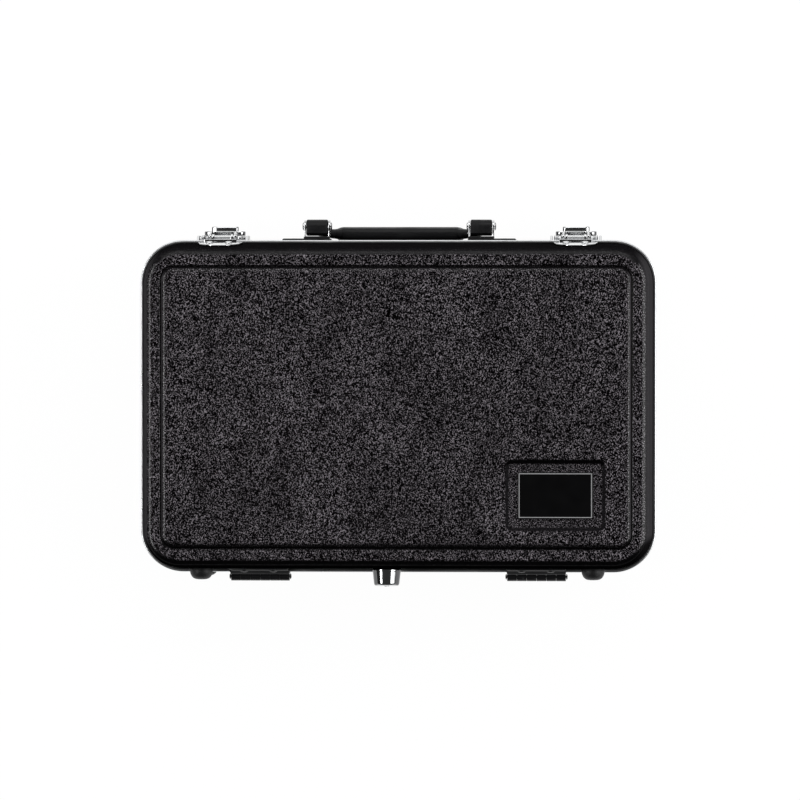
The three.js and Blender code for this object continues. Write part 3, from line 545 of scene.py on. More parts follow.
def shellMesh(name, depth, way):
    s = shellSizes
    slope = math.tan(s["draft"])

    def toHeight(down):
        return s["parting"] + way * down

    ringDepth = depth - s["panelRaise"]
    rounded = edgeRound(0, ringDepth, s["edgeRadius"], s["edgeSteps"])
    walls = [(s["rimSetBack"] * slope, s["rimSetBack"])]
    walls.append((rounded[0][0] - s["supportStep"] * slope, rounded[0][1] - s["supportStep"]))
    walls += rounded
    walls.append((rounded[-1][0] + s["supportStep"], ringDepth))
    rings = [insetRing(inset, toHeight(down)) for inset, down in walls]
    rings += [panelRing(inset, toHeight(ringDepth + rise)) for inset, rise in panelProfile]
    rings.append(panelRing(s["panelSlope"] + s["supportStep"], toHeight(depth)))
    floorDepth = ringDepth - s["wall"]
    inner = [(s["wall"] + s["rimSetBack"] * slope, s["rimSetBack"])]
    inner += edgeRound(s["wall"], floorDepth, s["innerRadius"], 4)
    inside = [insetRing(inset, toHeight(down)) for inset, down in inner]
    inside.append(panelRing(s["panelSlope"], toHeight(floorDepth)))
    ceiling = toHeight(floorDepth + s["panelRaise"])
    inside.append(panelRing(s["panelSlope"] + s["panelRaise"], ceiling))
    return loftMesh(name, [*inside[::-1], *rings])


def recessCutter():
    r = recessSizes
    top = shellSizes["parting"] + shellSizes["lidDepth"]
    slope, depth = r["slope"], r["depth"]
    profile = [(slope * inward, -depth * down) for inward, down in r["profile"]] + r["over"]
    size = (r["length"], r["width"], r["corner"] + slope * r["cornerShare"])
    rings = []
    for inset, rise in profile:
        ring = levelRing(size, inset, top + rise, r["steps"], r["leastCorner"])
        rings.append([point + Vector((r["x"], r["y"], 0)) for point in ring])
    return newPiece("recessCutter", loftMesh("recessCutter", rings))


lidSkin = newPiece("lidShellSkin", shellMesh("lidShellSkin", shellSizes["lidDepth"], 1), "shell")
smoothed(carved(lidSkin, recessCutter()), 40)
settle(lidSkin, "lid", "shell_plastic", "lid_shell")
baseSkin = newPiece(
    "bottomShellSkin", shellMesh("bottomShellSkin", shellSizes["baseDepth"], -1), "shell", 40,
)
settle(baseSkin, "base", "shell_plastic", "bottom_shell")
print("shells moulded")


# Wall frame of a fitting: x along the case, out from the wall, height from the parting line.
# Outlines are closed and are given with their corners, each with its own rounding radius.

def roundedOutline(corners, steps=6):
    outline = []
    for i, (u, v, radius) in enumerate(corners):
        here = Vector((u, v))
        before = Vector(corners[i - 1][:2]) - here
        after = Vector(corners[(i + 1) % len(corners)][:2]) - here
        if radius == 0:
            outline.append(here)
            continue
        angle = before.angle(after)
        reach = min(radius / math.tan(angle / 2), before.length * 0.48, after.length * 0.48)
        radius = reach * math.tan(angle / 2)
        centre = here + (before.normalized() + after.normalized()).normalized() * (
            radius / math.sin(angle / 2)
        )
        start = here + before.normalized() * reach - centre
        end = here + after.normalized() * reach - centre
        for step in range(steps + 1):
            outline.append(centre + start.slerp(end, step / steps).normalized() * radius)
    return outline


def shrunk(outline, inset):  # a closed outline moved inwards
    area = sum(a.cross(b) for a, b in zip(outline, outline[1:] + outline[:1]))
    way = 1 if area > 0 else -1
    moved = []
    for i, here in enumerate(outline):
        before = (here - outline[i - 1]).normalized()
        after = (outline[(i + 1) % len(outline)] - here).normalized()
        inward = Vector((-(before.y + after.y), before.x + after.x))
        half = (1 + before.dot(after)) / 2
        moved.append(here + way * inward.normalized() * inset / math.sqrt(max(half, 0.25)))
    return moved


def easedLevels(start, end, ease):  # inset and place through the depth, with both ends eased
    turns = [0, quarterTurn / 2, quarterTurn]
    near = [(ease * (1 - math.sin(t)), start + ease * (1 - math.cos(t))) for t in turns]
    far = [(inset, end - (place - start)) for inset, place in reversed(near)]
    return near + far


def wallOut(height):
    return -abs(height) * math.tan(shellSizes["draft"])


def onWall(spot, x, out, height):
    y = spot["side"] * (shellSizes["width"] / 2 + out)
    return Vector((spot["x"] + x, y, shellSizes["parting"] + height))


# A prism along X; its corners are out, height and radius
def across(spot, corners, middle, width, ease=0.0003, steps=6):
    outline = roundedOutline(corners, steps)
    rings = []
    for inset, x in easedLevels(middle - width / 2, middle + width / 2, ease):
        rings.append([onWall(spot, x, out, height) for out, height in shrunk(outline, inset)])
    return newPiece("part", loftMesh("part", rings))


# A plate parallel to the wall; its corners are x, height and radius
def outwards(spot, corners, start, end, ease=0.0003, steps=6, crown=None, drafted=False):
    outline = roundedOutline(corners, steps)
    if crown:
        outline = crowned(outline, crown)
    rings = []
    for inset, out in easedLevels(start, end, ease):
        ring = []
        for x, height in shrunk(outline, inset):
            ring.append(onWall(spot, x, out + (wallOut(height) if drafted else 0), height))
        rings.append(ring)
    return newPiece("part", loftMesh("part", rings))


plateSizes = {
    "length": 0.0505, "width": 0.0313, "corner": 0.001, "thickness": 0.0008, "ease": 0.00025,
    "borderInset": 0.0007, "borderWidth": 0.00055, "borderRise": 0.00004, "steps": 6,
    "leastCorner": 0.0002, "borderRoot": 0.0001,
}


def plateRing(inset, height):
    p = plateSizes
    size = (p["length"], p["width"], p["corner"])
    ring = levelRing(size, inset, height, p["steps"], p["leastCorner"])
    return [point + Vector((recessSizes["x"], recessSizes["y"], 0)) for point in ring]


low, high = (corner.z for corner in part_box("nameplate"))
face = high - plateSizes["borderRise"]
ease = plateSizes["ease"]
plateRings = [
    plateRing(0, low), plateRing(0, face - ease), plateRing(ease * 0.3, face - ease * 0.3),
    plateRing(ease, face), plateRing(ease * 1.6, face),
]
plate = newPiece("plateSkin", loftMesh("plateSkin", plateRings), "plate", 50)
settle(plate, "lid", "plate", "nameplate")
start = plateSizes["borderInset"]
end = start + plateSizes["borderWidth"]
root = face - plateSizes["borderRoot"]
borderRings = [
    plateRing(start, root), plateRing(start, high), plateRing(end, high), plateRing(end, root),
]
border = newPiece("plateBorder", loftMesh("plateBorder", borderRings, True), "border")
settle(border, "lid", "plate")
print("plate made")


class Growth(Net):  # a Geometry Nodes tree with named inputs
    def __init__(self, name, inputs):
        super().__init__(bpy.data.node_groups.new(name, "GeometryNodeTree"))
        face = self.tree.interface
        face.new_socket("Geometry", in_out="INPUT", socket_type="NodeSocketGeometry")
        for label, kind in inputs.items():
            face.new_socket(label, in_out="INPUT", socket_type="NodeSocket" + kind)
        face.new_socket("Geometry", in_out="OUTPUT", socket_type="NodeSocketGeometry")
        self.given = self.add("NodeGroupInput")

    def setAlong(self, blank, material):  # one blank on each point, turned to where it faces
        named = "GeometryNodeInputNamedAttribute"
        facing = self.add(named, {"Name": "facing"}, data_type="FLOAT_VECTOR")
        turned = self.add("FunctionNodeAlignRotationToVector", {"Vector": facing}, axis="Z")
        self.finish(self.add("GeometryNodeInstanceOnPoints", {
            "Points": self.given["Geometry"], "Instance": blank, "Rotation": turned,
        }), material)

    def finish(self, geometry, material):
        real = self.add("GeometryNodeRealizeInstances", [geometry])
        values = {"Geometry": real, "Material": materials[material]}
        self.add("NodeGroupOutput", [self.add("GeometryNodeSetMaterial", values)])


def grow(name, growth, values, seedMesh, smoothTo=35):
    piece = linked(name, seedMesh)
    modifier = modified(piece, "NODES", node_group=growth.tree)
    for item in growth.tree.interface.items_tree:
        if item.in_out == "INPUT" and item.name in values:
            modifier[item.identifier] = values[item.name]
    flattened(piece)
    return smoothed(piece, smoothTo)


valanceSizes = {
    "standOff": 0.002, "thickness": 0.001, "skirt": 0.006, "leg": 0.005, "gap": fitGap,
    "tongue": 0.001, "tongueDepth": 0.0025, "ease": 0.0002, "bead": 0.0013, "steps": 20,
}


def valancePiece(name, corners):  # the section is swept round the rim by the tree
    outline = roundedOutline(corners, 6)
    mesh = bpy.data.meshes.new(name + "Section")
    count = len(outline)
    mesh.from_pydata(
        [(out, -height, 0) for out, height in outline],
        [(i, (i + 1) % count) for i in range(count)], [],
    )
    values = {
        "Length": shellSizes["length"], "Width": shellSizes["width"],
        "Corner": shellSizes["corner"], "Steps": valanceSizes["steps"],
        "Height": shellSizes["parting"],
    }
    return grow(name, sweep, values, mesh)


sweep = Growth("rimSweep", {
    "Length": "Float", "Width": "Float", "Corner": "Float", "Height": "Float", "Steps": "Int",
})
given = sweep.given
rim = sweep.add("GeometryNodeCurvePrimitiveQuadrilateral", {
    "Width": given["Length"], "Height": given["Width"],
})
rim = sweep.add("GeometryNodeFilletCurve", {
    "Curve": rim, "Count": given["Steps"], "Radius": given["Corner"],
}, mode="POLY")
lifted = sweep.add("ShaderNodeCombineXYZ", {"Z": given["Height"]})
rim = sweep.add("GeometryNodeTransform", {"Geometry": rim, "Translation": lifted})
rim = sweep.add("GeometryNodeSetCurveNormal", [rim], mode="Z_UP")
section = sweep.add("GeometryNodeMeshToCurve", [given["Geometry"]])
swept = sweep.add("GeometryNodeCurveToMesh", {"Curve": rim, "Profile Curve": section})
sweep.finish(swept, "aluminium")

v = valanceSizes
legOuter = shellSizes["wall"] + v["leg"] * math.tan(shellSizes["draft"]) + v["gap"]
legInner = legOuter + v["thickness"]
tongueOuter = legInner + v["gap"]
tongueInner = tongueOuter + v["tongue"]
half, out, under = v["gap"] / 2, v["standOff"], v["gap"] / 2 + v["thickness"]
ease, bead = v["ease"], v["bead"]
bottomValance = valancePiece("bottomValanceSkin", [
    (out, -v["skirt"], bead), (out, -half, ease), (-legInner, -half, ease),
    (-legInner, -v["leg"], ease), (-legOuter, -v["leg"], ease), (-legOuter, -under, 0),
    (v["gap"], -under, 0), (v["gap"], -v["skirt"], 0.0001),
])
settle(bottomValance, "base", "valance", "bottom_valance")
lidValance = valancePiece("lidValanceSkin", [
    (out, half, ease), (out, v["skirt"], bead), (v["gap"], v["skirt"], 0.0001),
    (v["gap"], under, 0), (-legOuter, under, 0), (-legOuter, v["leg"], ease),
    (-tongueInner, v["leg"], ease), (-tongueInner, -v["tongueDepth"], ease),
    (-tongueOuter, -v["tongueDepth"], ease), (-tongueOuter, half, 0),
])
settle(lidValance, "lid", "valance", "lid_valance")
print("valances drawn")


def crowned(outline, rise):  # an outline whose upper and lower edges bow down towards both ends
    reach = max(x for x, height in outline)
    finer = []
    for i, here in enumerate(outline):
        after = outline[(i + 1) % len(outline)]
        pieces = max(1, round(abs(after.x - here.x) / 0.0006))
        finer += [here.lerp(after, step / pieces) for step in range(pieces)]
    return [Vector((point.x, point.y - rise * (point.x / reach) ** 2)) for point in finer]


def united(name, parts, material, angle=35):
    whole = parts[0]
    for part in parts[1:]:
        carved(whole, part, "UNION")
    whole.name = whole.data.name = name
    return smoothed(setMaterial(whole, material), angle)


def twin(piece, name, shift):  # the same fitting further along the case
    mesh = piece.data.copy()
    mesh.name = name
    mesh.transform(Matrix.Translation((shift, 0, 0)))
    return linked(name, mesh)


# Rivets and headed pins: a dome on a shank, set along an attribute called facing
domes = Growth("domes", {
    "Head": "Float", "Rim": "Float", "Dome": "Float", "Shank": "Float", "Length": "Float",
    "Sides": "Int",
})
given = domes.given
blank = domes.add("GeometryNodeMeshCylinder", {
    "Vertices": given["Sides"], "Side Segments": 3, "Fill Segments": 5, "Radius": 1, "Depth": 2,
})
place = domes.add("ShaderNodeSeparateXYZ", [domes.add("GeometryNodeInputPosition")])
offCentre = place["X"] * place["X"] + place["Y"] * place["Y"]
bulge = (1 - offCentre).maths("MAXIMUM", 0) ** 0.5
isTop = place["Z"].maths("GREATER_THAN", 0.5)
isFoot = place["Z"].maths("LESS_THAN", -0.5)
isShank = place["Z"].maths("LESS_THAN", 0)
radius = given["Head"] * (1 - isShank) + given["Shank"] * isShank
height = isTop * (given["Rim"] + given["Dome"] * bulge) - isFoot * given["Length"]
shaped = domes.add("ShaderNodeCombineXYZ", [place["X"] * radius, place["Y"] * radius, height])
blank = domes.add("GeometryNodeSetPosition", {"Geometry": blank, "Position": shaped})
domes.setAlong(blank, "chrome")

# Hinge knuckles: barrels along X with chamfered ends
barrels = Growth("barrels", {
    "Radius": "Float", "Half Length": "Float", "Chamfer": "Float", "Sides": "Int",
})
given = barrels.given
blank = barrels.add("GeometryNodeMeshCylinder", {
    "Vertices": given["Sides"], "Side Segments": 3, "Fill Segments": 1, "Radius": 1, "Depth": 2,
})
place = barrels.add("ShaderNodeSeparateXYZ", [barrels.add("GeometryNodeInputPosition")])
isEnd = place["Z"].maths("ABSOLUTE").maths("GREATER_THAN", 0.5)
radius = given["Radius"] - isEnd * given["Chamfer"]
reach = isEnd * given["Half Length"] + (1 - isEnd) * 3 * (given["Half Length"] - given["Chamfer"])
shaped = barrels.add("ShaderNodeCombineXYZ", [
    place["X"] * radius, place["Y"] * radius, place["Z"] * reach,
])
blank = barrels.add("GeometryNodeSetPosition", {"Geometry": blank, "Position": shaped})
barrels.setAlong(blank, "blackSteel")


def seeds(name, places):  # points with the direction that each instance faces
    mesh = bpy.data.meshes.new(name)
    mesh.from_pydata([tuple(point) for point, facing in places], [], [])
    attribute = mesh.attributes.new("facing", "FLOAT_VECTOR", "POINT")
    for i, (point, facing) in enumerate(places):
        attribute.data[i].vector = facing
    return mesh


rivetSizes = {"head": 0.0026, "rim": 0.0003, "dome": 0.0009, "shank": 0.0013, "sides": 28}
slotNames = {"chrome": "chrome", "blackSteel": "black_steel"}


def rivetPlace(node, side, isLid):
    lean = shellSizes["draft"] * (1 if isLid else -1)
    facing = Vector((0, side * math.cos(lean), math.sin(lean)))
    low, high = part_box(node)
    middle = (low + high) / 2
    reaches = [vertex.co.dot(facing) for vertex in nodes[node].data.vertices]
    seat = max(reaches) - rivetSizes["rim"] - rivetSizes["dome"]
    point = middle + facing * (seat - middle.dot(facing))
    return point, facing, seat - min(reaches)


def rivetSet(name, body, prefix, side, isLid, finish="chrome"):
    names = sorted(node for node in nodes if node.startswith(prefix))
    found = [rivetPlace(node, side, isLid) for node in names]
    values = {
        "Head": rivetSizes["head"], "Rim": rivetSizes["rim"], "Dome": rivetSizes["dome"],
        "Shank": rivetSizes["shank"], "Length": max(length for *_, length in found),
        "Sides": rivetSizes["sides"],
    }
    piece = grow(name, domes, values, seeds(name, [place[:2] for place in found]), 50)
    return settle(setMaterial(piece, finish), body, slotNames[finish], *names)


rivetSet("latchRivets", "base", "latch_rivet", -1, False)
rivetSet("handleRivets", "base", "handle_rivet", -1, False)
rivetSet("lowerHingeRivets", "base", "hinge_lower_rivet", 1, False, "blackSteel")
rivetSet("keeperRivets", "lid", "keeper_rivet", -1, True)
rivetSet("upperHingeRivets", "lid", "hinge_upper_rivet", 1, True, "blackSteel")
print("rivets set")

pinHead = {"rim": 0.35, "dome": 0.65, "sides": 28}  # shares of a head's thickness
pinSizes = {
    "latch_pivot_pin": {"head": 0.0021, "thickness": 0.0008, "shank": 0.0012, "body": "base"},
    "latch_hook_pin": {"head": 0.0021, "thickness": 0.0008, "shank": 0.0011, "body": "lever"},
    "handle_pin": {"head": 0.0028, "thickness": 0.001, "shank": 0.0016, "body": "base"},
    "hinge_pin": {"head": 0.0019, "thickness": 0.0009, "shank": 0.001, "body": "base"},
}


def headedPin(name, node, sizes, body, finish):
    low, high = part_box(node)
    middle = (low + high) / 2
    places = []
    for side, end in ((-1, low.x), (1, high.x)):
        seat = Vector((end - side * sizes["thickness"], middle.y, middle.z))
        places.append((seat, Vector((side, 0, 0))))
    values = {
        "Head": sizes["head"], "Rim": sizes["thickness"] * pinHead["rim"],
        "Dome": sizes["thickness"] * pinHead["dome"], "Shank": sizes["shank"],
        "Length": (high.x - low.x) / 2 - sizes["thickness"], "Sides": pinHead["sides"],
    }
    piece = grow(name, domes, values, seeds(name, places), 50)
    return settle(setMaterial(piece, finish), body, slotNames[finish], node)


for kind, sizes in pinSizes.items():
    for end in sides:
        body = "lever_" + end if sizes["body"] == "lever" else sizes["body"]
        finish = "blackSteel" if kind == "hinge_pin" else "chrome"
        name = kind.replace("_", " ").title().replace(" ", "") + end.title()
        headedPin(name[0].lower() + name[1:], kind + "_" + end, sizes, body, finish)
print("pins set")

hingeSizes = {
    "place": 0.543, "width": 0.04, "knuckles": 6, "barrel": 0.003, "gap": fitGap, "slit": 0.00012,
    "thickness": 0.0012, "foot": 0.024, "jog": 0.002, "clear": 0.0006, "chamfer": 0.00018,
    "bend": 0.001, "edge": 0.0002, "ease": 0.0004, "sides": 36,
}


def hingeHalf(side, end, half, body):  # half is -1 for the lower leaf and 1 for the upper one
    h = hingeSizes
    spot = {"x": side * h["place"] * shellSizes["length"] / 2, "side": 1}
    over = valanceSizes["standOff"] + h["gap"]
    clear = h["barrel"] + h["clear"]
    skirtEnd = valanceSizes["skirt"] + h["gap"]
    inner = [
        (over, clear, h["edge"]), (over, skirtEnd, h["bend"]),
        (wallOut(skirtEnd + h["jog"]) + h["gap"], skirtEnd + h["jog"], h["bend"]),
        (wallOut(h["foot"]) + h["gap"], h["foot"], h["edge"]),
    ]
    outer = [(out + h["thickness"], height, radius) for out, height, radius in reversed(inner)]
    outline = [(out, half * height, radius) for out, height, radius in inner + outer]
    pieces = [across(spot, outline, 0, h["width"], h["ease"])]
    pitch = h["width"] / h["knuckles"]
    axisOut = over + h["barrel"]
    places = []
    for knuckle in range(1 if half > 0 else 0, h["knuckles"], 2):
        x = h["width"] / 2 - (knuckle + 0.5) * pitch
        link = [
            (over, 0, 0), (over + h["thickness"], 0, 0),
            (over + h["thickness"], half * (clear + h["clear"]), 0),
            (over, half * (clear + h["clear"]), 0),
        ]
        pieces.append(across(spot, link, x, pitch - h["gap"], h["edge"]))
        places.append((onWall(spot, x, axisOut, 0), Vector((1, 0, 0))))
    part = "Upper" if half > 0 else "Lower"
    leaf = united("hinge" + part + "Leaf" + end.title(), pieces, "blackSteel")
    settle(leaf, body, "black_steel", "hinge_" + part.lower() + "_leaf_" + end)
    values = {
        "Radius": h["barrel"], "Half Length": (pitch - h["slit"]) / 2, "Chamfer": h["chamfer"],
        "Sides": h["sides"],
    }
    name = "hinge" + part + "Knuckles" + end.title()
    settle(grow(name, barrels, values, seeds(name, places), 40), body, "black_steel")


for end, side in sides.items():
    hingeHalf(side, end, -1, "base")
    hingeHalf(side, end, 1, "lid")
print("hinges made")

footSizes = {
    "place": 0.7655, "drop": 0.023, "segments": 56,
    "rubber": [
        (0, 0.0003), (0.0071, 0.0003), (0.0075, 0.0004), (0.00775, 0.0008), (0.00775, 0.0026),
        (0.00766, 0.0032), (0.00742, 0.0041), (0.00695, 0.0052), (0.0063, 0.0062),
        (0.0055, 0.00695), (0.0046, 0.00745), (0.0034, 0.0078), (0.0018, 0.00797), (0, 0.008),
    ],
    "centreX": 0.007, "centreRise": 0.022,
    "centre": [
        (0, 0.0003), (0.0095, 0.0003), (0.00975, 0.0006), (0.00975, 0.0019), (0.0096, 0.0024),
        (0.0094, 0.0032), (0.0086, 0.0103), (0.0084, 0.0111), (0.008, 0.0117), (0.0073, 0.01205),
        (0.0068, 0.0121), (0.0055, 0.0121), (0.0052, 0.0118), (0.0052, 0.0081), (0, 0.0081),
    ],
    "stud": [
        (0, 0.0084), (0.0044, 0.0084), (0.0044, 0.0112), (0.0041, 0.0116), (0.0034, 0.0118),
        (0.0016, 0.0118), (0.0014, 0.0119), (0.0014, 0.0124), (0.001, 0.0126), (0, 0.0126),
    ],
}


def standing(name, profile, x, height, material, isLid):  # turned, square to the hinge-side wall
    mesh = turnedMesh(name, profile, footSizes["segments"])
    lean = shellSizes["draft"] * (1 if isLid else -1)
    tilt = Matrix.Rotation(lean - quarterTurn, 4, "X")
    spot = {"x": x, "side": 1}
    mesh.transform(Matrix.Translation(onWall(spot, 0, wallOut(height), height)) @ tilt)
    return newPiece(name, mesh, material, 40)


for end, side in sides.items():
    x = side * footSizes["place"] * shellSizes["length"] / 2
    for part, body, isLid in (("lower", "base", False), ("upper", "lid", True)):
        height = footSizes["drop"] * (1 if isLid else -1)
        name = part + "Foot" + end.title()
        foot = standing(name, footSizes["rubber"], x, height, "rubber", isLid)
        settle(foot, body, "rubber", part + "_foot_" + end)
x, height = footSizes["centreX"], footSizes["centreRise"]
for name, profile, node in (
    ("centreFoot", "centre", "centre_foot"), ("centreFootStud", "stud", "centre_foot_stud"),
):
    turned = standing(name, footSizes[profile], x, height, "chrome", True)
    settle(turned, "lid", "chrome", node)
print("feet turned")

latchSizes = {
    "place": 0.6961, "pivot": (0.0042, -0.012), "hookPin": (0.0034, -0.02), "lug": 0.002,
    "base": {"width": 0.035, "top": 0.008, "foot": 0.034, "plate": 0.0012, "corner": 0.002},
    "guard": {"thickness": 0.0017, "ease": 0.0005, "root": 0.0012, "tip": 0.0005, "out": 0.0052,
              "slope": 0.0045, "small": 0.001, "large": 0.0025},
    "stop": {"half": 0.0135, "height": 0.0012, "rounds": (0.0004, 0.0003),
             "depth": (-0.0015, 0.0044), "ease": 0.0004},
    "cheek": {"middle": 0.00635, "thickness": 0.0017, "root": -0.0005, "roundness": 0.98},
    "lever": {"width": 0.0183, "cheek": 0.0015, "out": 0.0082, "web": 0.0012, "crown": 0.0014,
              "top": -0.0158, "foot": -0.035, "rounds": (0.003, 0.0005),
              "inset": 0.0003, "shoulder": -0.0165, "belly": (0.0026, -0.024, 0.0015),
              "chin": (0.0008, 0.0012)},
    "paddle": {"width": 0.028, "depth": 0.0032, "height": 0.006, "crown": 0.0026,
               "rounds": (0.0026, 0.0015), "ease": 0.0006},
    "thumb": {"out": 0.0114, "height": 0.0035, "crown": 0.0018, "rounds": (0.0012, 0.0006),
              "ease": 0.0007},
}


def slab(half, top, foot, rounds):  # corners of a plate, its upper edge first
    return [
        (-half, top, rounds[0]), (half, top, rounds[0]), (half, foot, rounds[1]),
        (-half, foot, rounds[1]),
    ]


def latchBasePiece(spot):
    b, g, stop, ear = (latchSizes[key] for key in ("base", "guard", "stop", "cheek"))
    half, top, foot = b["width"] / 2, -b["top"], -b["foot"]
    corners = slab(half, top, foot, (b["corner"], b["corner"]))
    parts = [outwards(spot, corners, fitGap, fitGap + b["plate"], drafted=True)]
    guard = [
        (wallOut(top) + fitGap, top, 0), (g["root"], top, g["small"]),
        (g["out"], top - g["slope"], g["large"]), (g["out"], foot + g["slope"], g["large"]),
        (g["tip"], foot, g["small"]), (wallOut(foot) + fitGap, foot, 0),
    ]
    flange = slab(stop["half"], foot + stop["height"], foot, stop["rounds"])
    parts.append(outwards(spot, flange, *stop["depth"], stop["ease"]))
    (out, drop), lug = latchSizes["pivot"], latchSizes["lug"]
    rounding = lug * ear["roundness"]
    cheek = [
        (ear["root"], drop + lug, 0), (out + lug, drop + lug, rounding),
        (out + lug, drop - lug, rounding), (ear["root"], drop - lug, 0),
    ]
    for way in (-1, 1):
        middle = way * (half - g["thickness"] / 2)
        parts.append(across(spot, guard, middle, g["thickness"], g["ease"]))
        parts.append(across(spot, cheek, way * ear["middle"], ear["thickness"]))
    return united("latchBase", parts, "chrome")


def latchLeverPiece(spot):
    lever, paddle, thumb = latchSizes["lever"], latchSizes["paddle"], latchSizes["thumb"]
    half, wide, end, out = lever["width"] / 2, paddle["width"] / 2, lever["foot"], lever["out"]
    face = out - lever["web"]
    web = slab(half, lever["top"], end, lever["rounds"])
    plate = slab(wide, end + paddle["height"], end, paddle["rounds"])
    rise = thumb["height"] / 2
    lip = slab(half, end + rise, end - rise, thumb["rounds"])
    parts = [
        outwards(spot, web, face, out, crown=lever["crown"]),
        outwards(spot, plate, out - paddle["depth"], out, paddle["ease"], crown=paddle["crown"]),
        outwards(spot, lip, face, thumb["out"], thumb["ease"], crown=thumb["crown"]),
    ]
    (pivotOut, pivotDrop), (pinOut, pinDrop) = latchSizes["pivot"], latchSizes["hookPin"]
    lug, (chinDrop, chinRound) = latchSizes["lug"], lever["chin"]
    cheek = [
        (pivotOut - lug, pivotDrop + lug, lug), (pivotOut + lug, pivotDrop + lug, lug),
        (out - lever["inset"], lever["shoulder"], 0.001), (out - lever["inset"], end, 0.0005),
        (face, end, 0.0003), lever["belly"], (pinOut - lug, pinDrop - chinDrop, chinRound),
    ]
    for way in (-1, 1):
        middle = way * (lever["width"] - lever["cheek"]) / 2
        parts.append(across(spot, cheek, middle, lever["cheek"]))
    return united("latchLever", parts, "chrome")


hookSizes = {
    "width": 0.0278, "leg": 0.0023, "depth": 0.0022, "plateOut": 0.003, "thickness": 0.0014,
    "top": 0.0103, "foot": 0.001, "crown": 0.002, "rounds": (0.003, 0.0008), "ease": 0.0004,
    "lip": {"inset": 0.003, "height": 0.0014, "reach": 0.00195, "root": 0.0007,
            "rounds": (0.0006, 0.0004)},
    "legTop": 0.004, "legRound": 0.0008, "neckRound": 0.0005, "eyeRound": 0.0006, "neck": 0.6,
}


def latchHookPiece(spot):
    h, lip = hookSizes, hookSizes["lip"]
    half, face = h["width"] / 2, h["plateOut"]
    plate = slab(half, h["top"], h["foot"], h["rounds"])
    hooked = slab(half - lip["inset"], h["top"], h["top"] - lip["height"], lip["rounds"])
    parts = [
        outwards(spot, plate, face, face + h["thickness"], h["ease"], crown=h["crown"]),
        outwards(spot, hooked, face - lip["reach"], face + lip["root"], h["ease"]),
    ]
    (pinOut, pinDrop), lug = latchSizes["hookPin"], latchSizes["lug"]
    inner = pinOut - h["depth"] / 2
    outer, neck = inner + h["depth"], pinDrop + lug * h["neck"]
    leg = [
        (inner, h["legTop"], h["legRound"]), (outer, h["legTop"], h["legRound"]),
        (outer, pinDrop + lug, h["neckRound"]), (pinOut + lug, neck, h["eyeRound"]),
        (pinOut + lug, pinDrop - lug, lug), (pinOut - lug, pinDrop - lug, lug),
        (pinOut - lug, neck, h["eyeRound"]), (inner, pinDrop + lug, h["neckRound"]),
    ]
    for way in (-1, 1):
        parts.append(across(spot, leg, way * (half - h["leg"] / 2), h["leg"], h["ease"]))
    return united("latchHook", parts, "chrome")


keeperSizes = {
    "foot": 0.0072, "top": 0.033, "wide": 0.03, "narrow": 0.0258, "thickness": 0.0012,
    "shoulder": 0.0255, "crest": 0.006, "straight": 0.004, "ease": 0.0004,
    "footRound": 0.0008, "waistRound": 0.002, "shoulderRound": 0.012, "crestRound": 0.009,
    "ledge": {"height": 0.0014, "width": 0.022, "root": 0.0009, "out": 0.0027},
}


def keeperPiece(spot):
    k, ledge = keeperSizes, keeperSizes["ledge"]
    wide, narrow, foot = k["wide"] / 2, k["narrow"] / 2, k["foot"]
    rightHalf = [
        (wide, foot, k["footRound"]), (wide, foot + k["straight"], k["waistRound"]),
        (narrow, k["shoulder"], k["shoulderRound"]), (k["crest"], k["top"], k["crestRound"]),
    ]
    leftHalf = [(-x, height, rounding) for x, height, rounding in reversed(rightHalf)]
    outline = leftHalf[-1:] + rightHalf + leftHalf[:-1]
    plate = outwards(spot, outline, fitGap, fitGap + k["thickness"], k["ease"], drafted=True)
    root, top = wallOut(foot) + ledge["root"], foot + ledge["height"]
    step = across(spot, [
        (root, foot, 0), (ledge["out"], foot, 0.0003), (ledge["out"], top, 0.0003),
        (root, top, 0),
    ], 0, ledge["width"])
    return united("keeper", [plate, step], "chrome")


latchX = latchSizes["place"] * shellSizes["length"] / 2
leftSpot = {"x": -latchX, "side": -1}
makers = {
    "latch_base": (latchBasePiece, "base"), "latch_lever": (latchLeverPiece, "lever_"),
    "latch_hook": (latchHookPiece, "hook_"), "keeper": (keeperPiece, "lid"),
}
for node, (maker, body) in makers.items():
    left = maker(leftSpot)
    stem = left.name
    left.name = left.data.name = stem + "Left"
    right = twin(left, stem + "Right", 2 * latchX)
    for piece, end in zip((left, right), sides):
        rides = body + end if body.endswith("_") else body
        settle(piece, rides, "chrome", node + "_" + end)
print("latches made")

handleSizes = {
    "spacing": 0.112, "pivotOut": 0.0115, "pivotDrop": 0.016, "bossWidth": 0.0147,
    "bossRadius": 0.0046, "bossBack": 0.0065, "drop": 0.0185, "gripWidth": 0.0184,
    "gripDepth": 0.0099, "gripOut": 0.0062, "roundness": 2.9, "steps": 7, "around": 40,
    "frontSteps": 24, "backSteps": 12, "bossEase": 0.0009,
    # reach from the middle, way from pivot to grip, drop, width and depth, as shares
    "stations": [
        (1, 0, 0, 0.48, 0.9), (1, 0.35, 0.38, 0.5, 0.75), (0.946, 0.7, 0.66, 0.56, 0.66),
        (0.84, 0.93, 0.84, 0.7, 0.64), (0.76, 0.97, 0.91, 0.82, 0.74), (0.69, 1, 0.95, 0.92, 1),
        (0.45, 1, 0.975, 0.98, 1), (0, 1, 1, 1, 1),
    ],
}


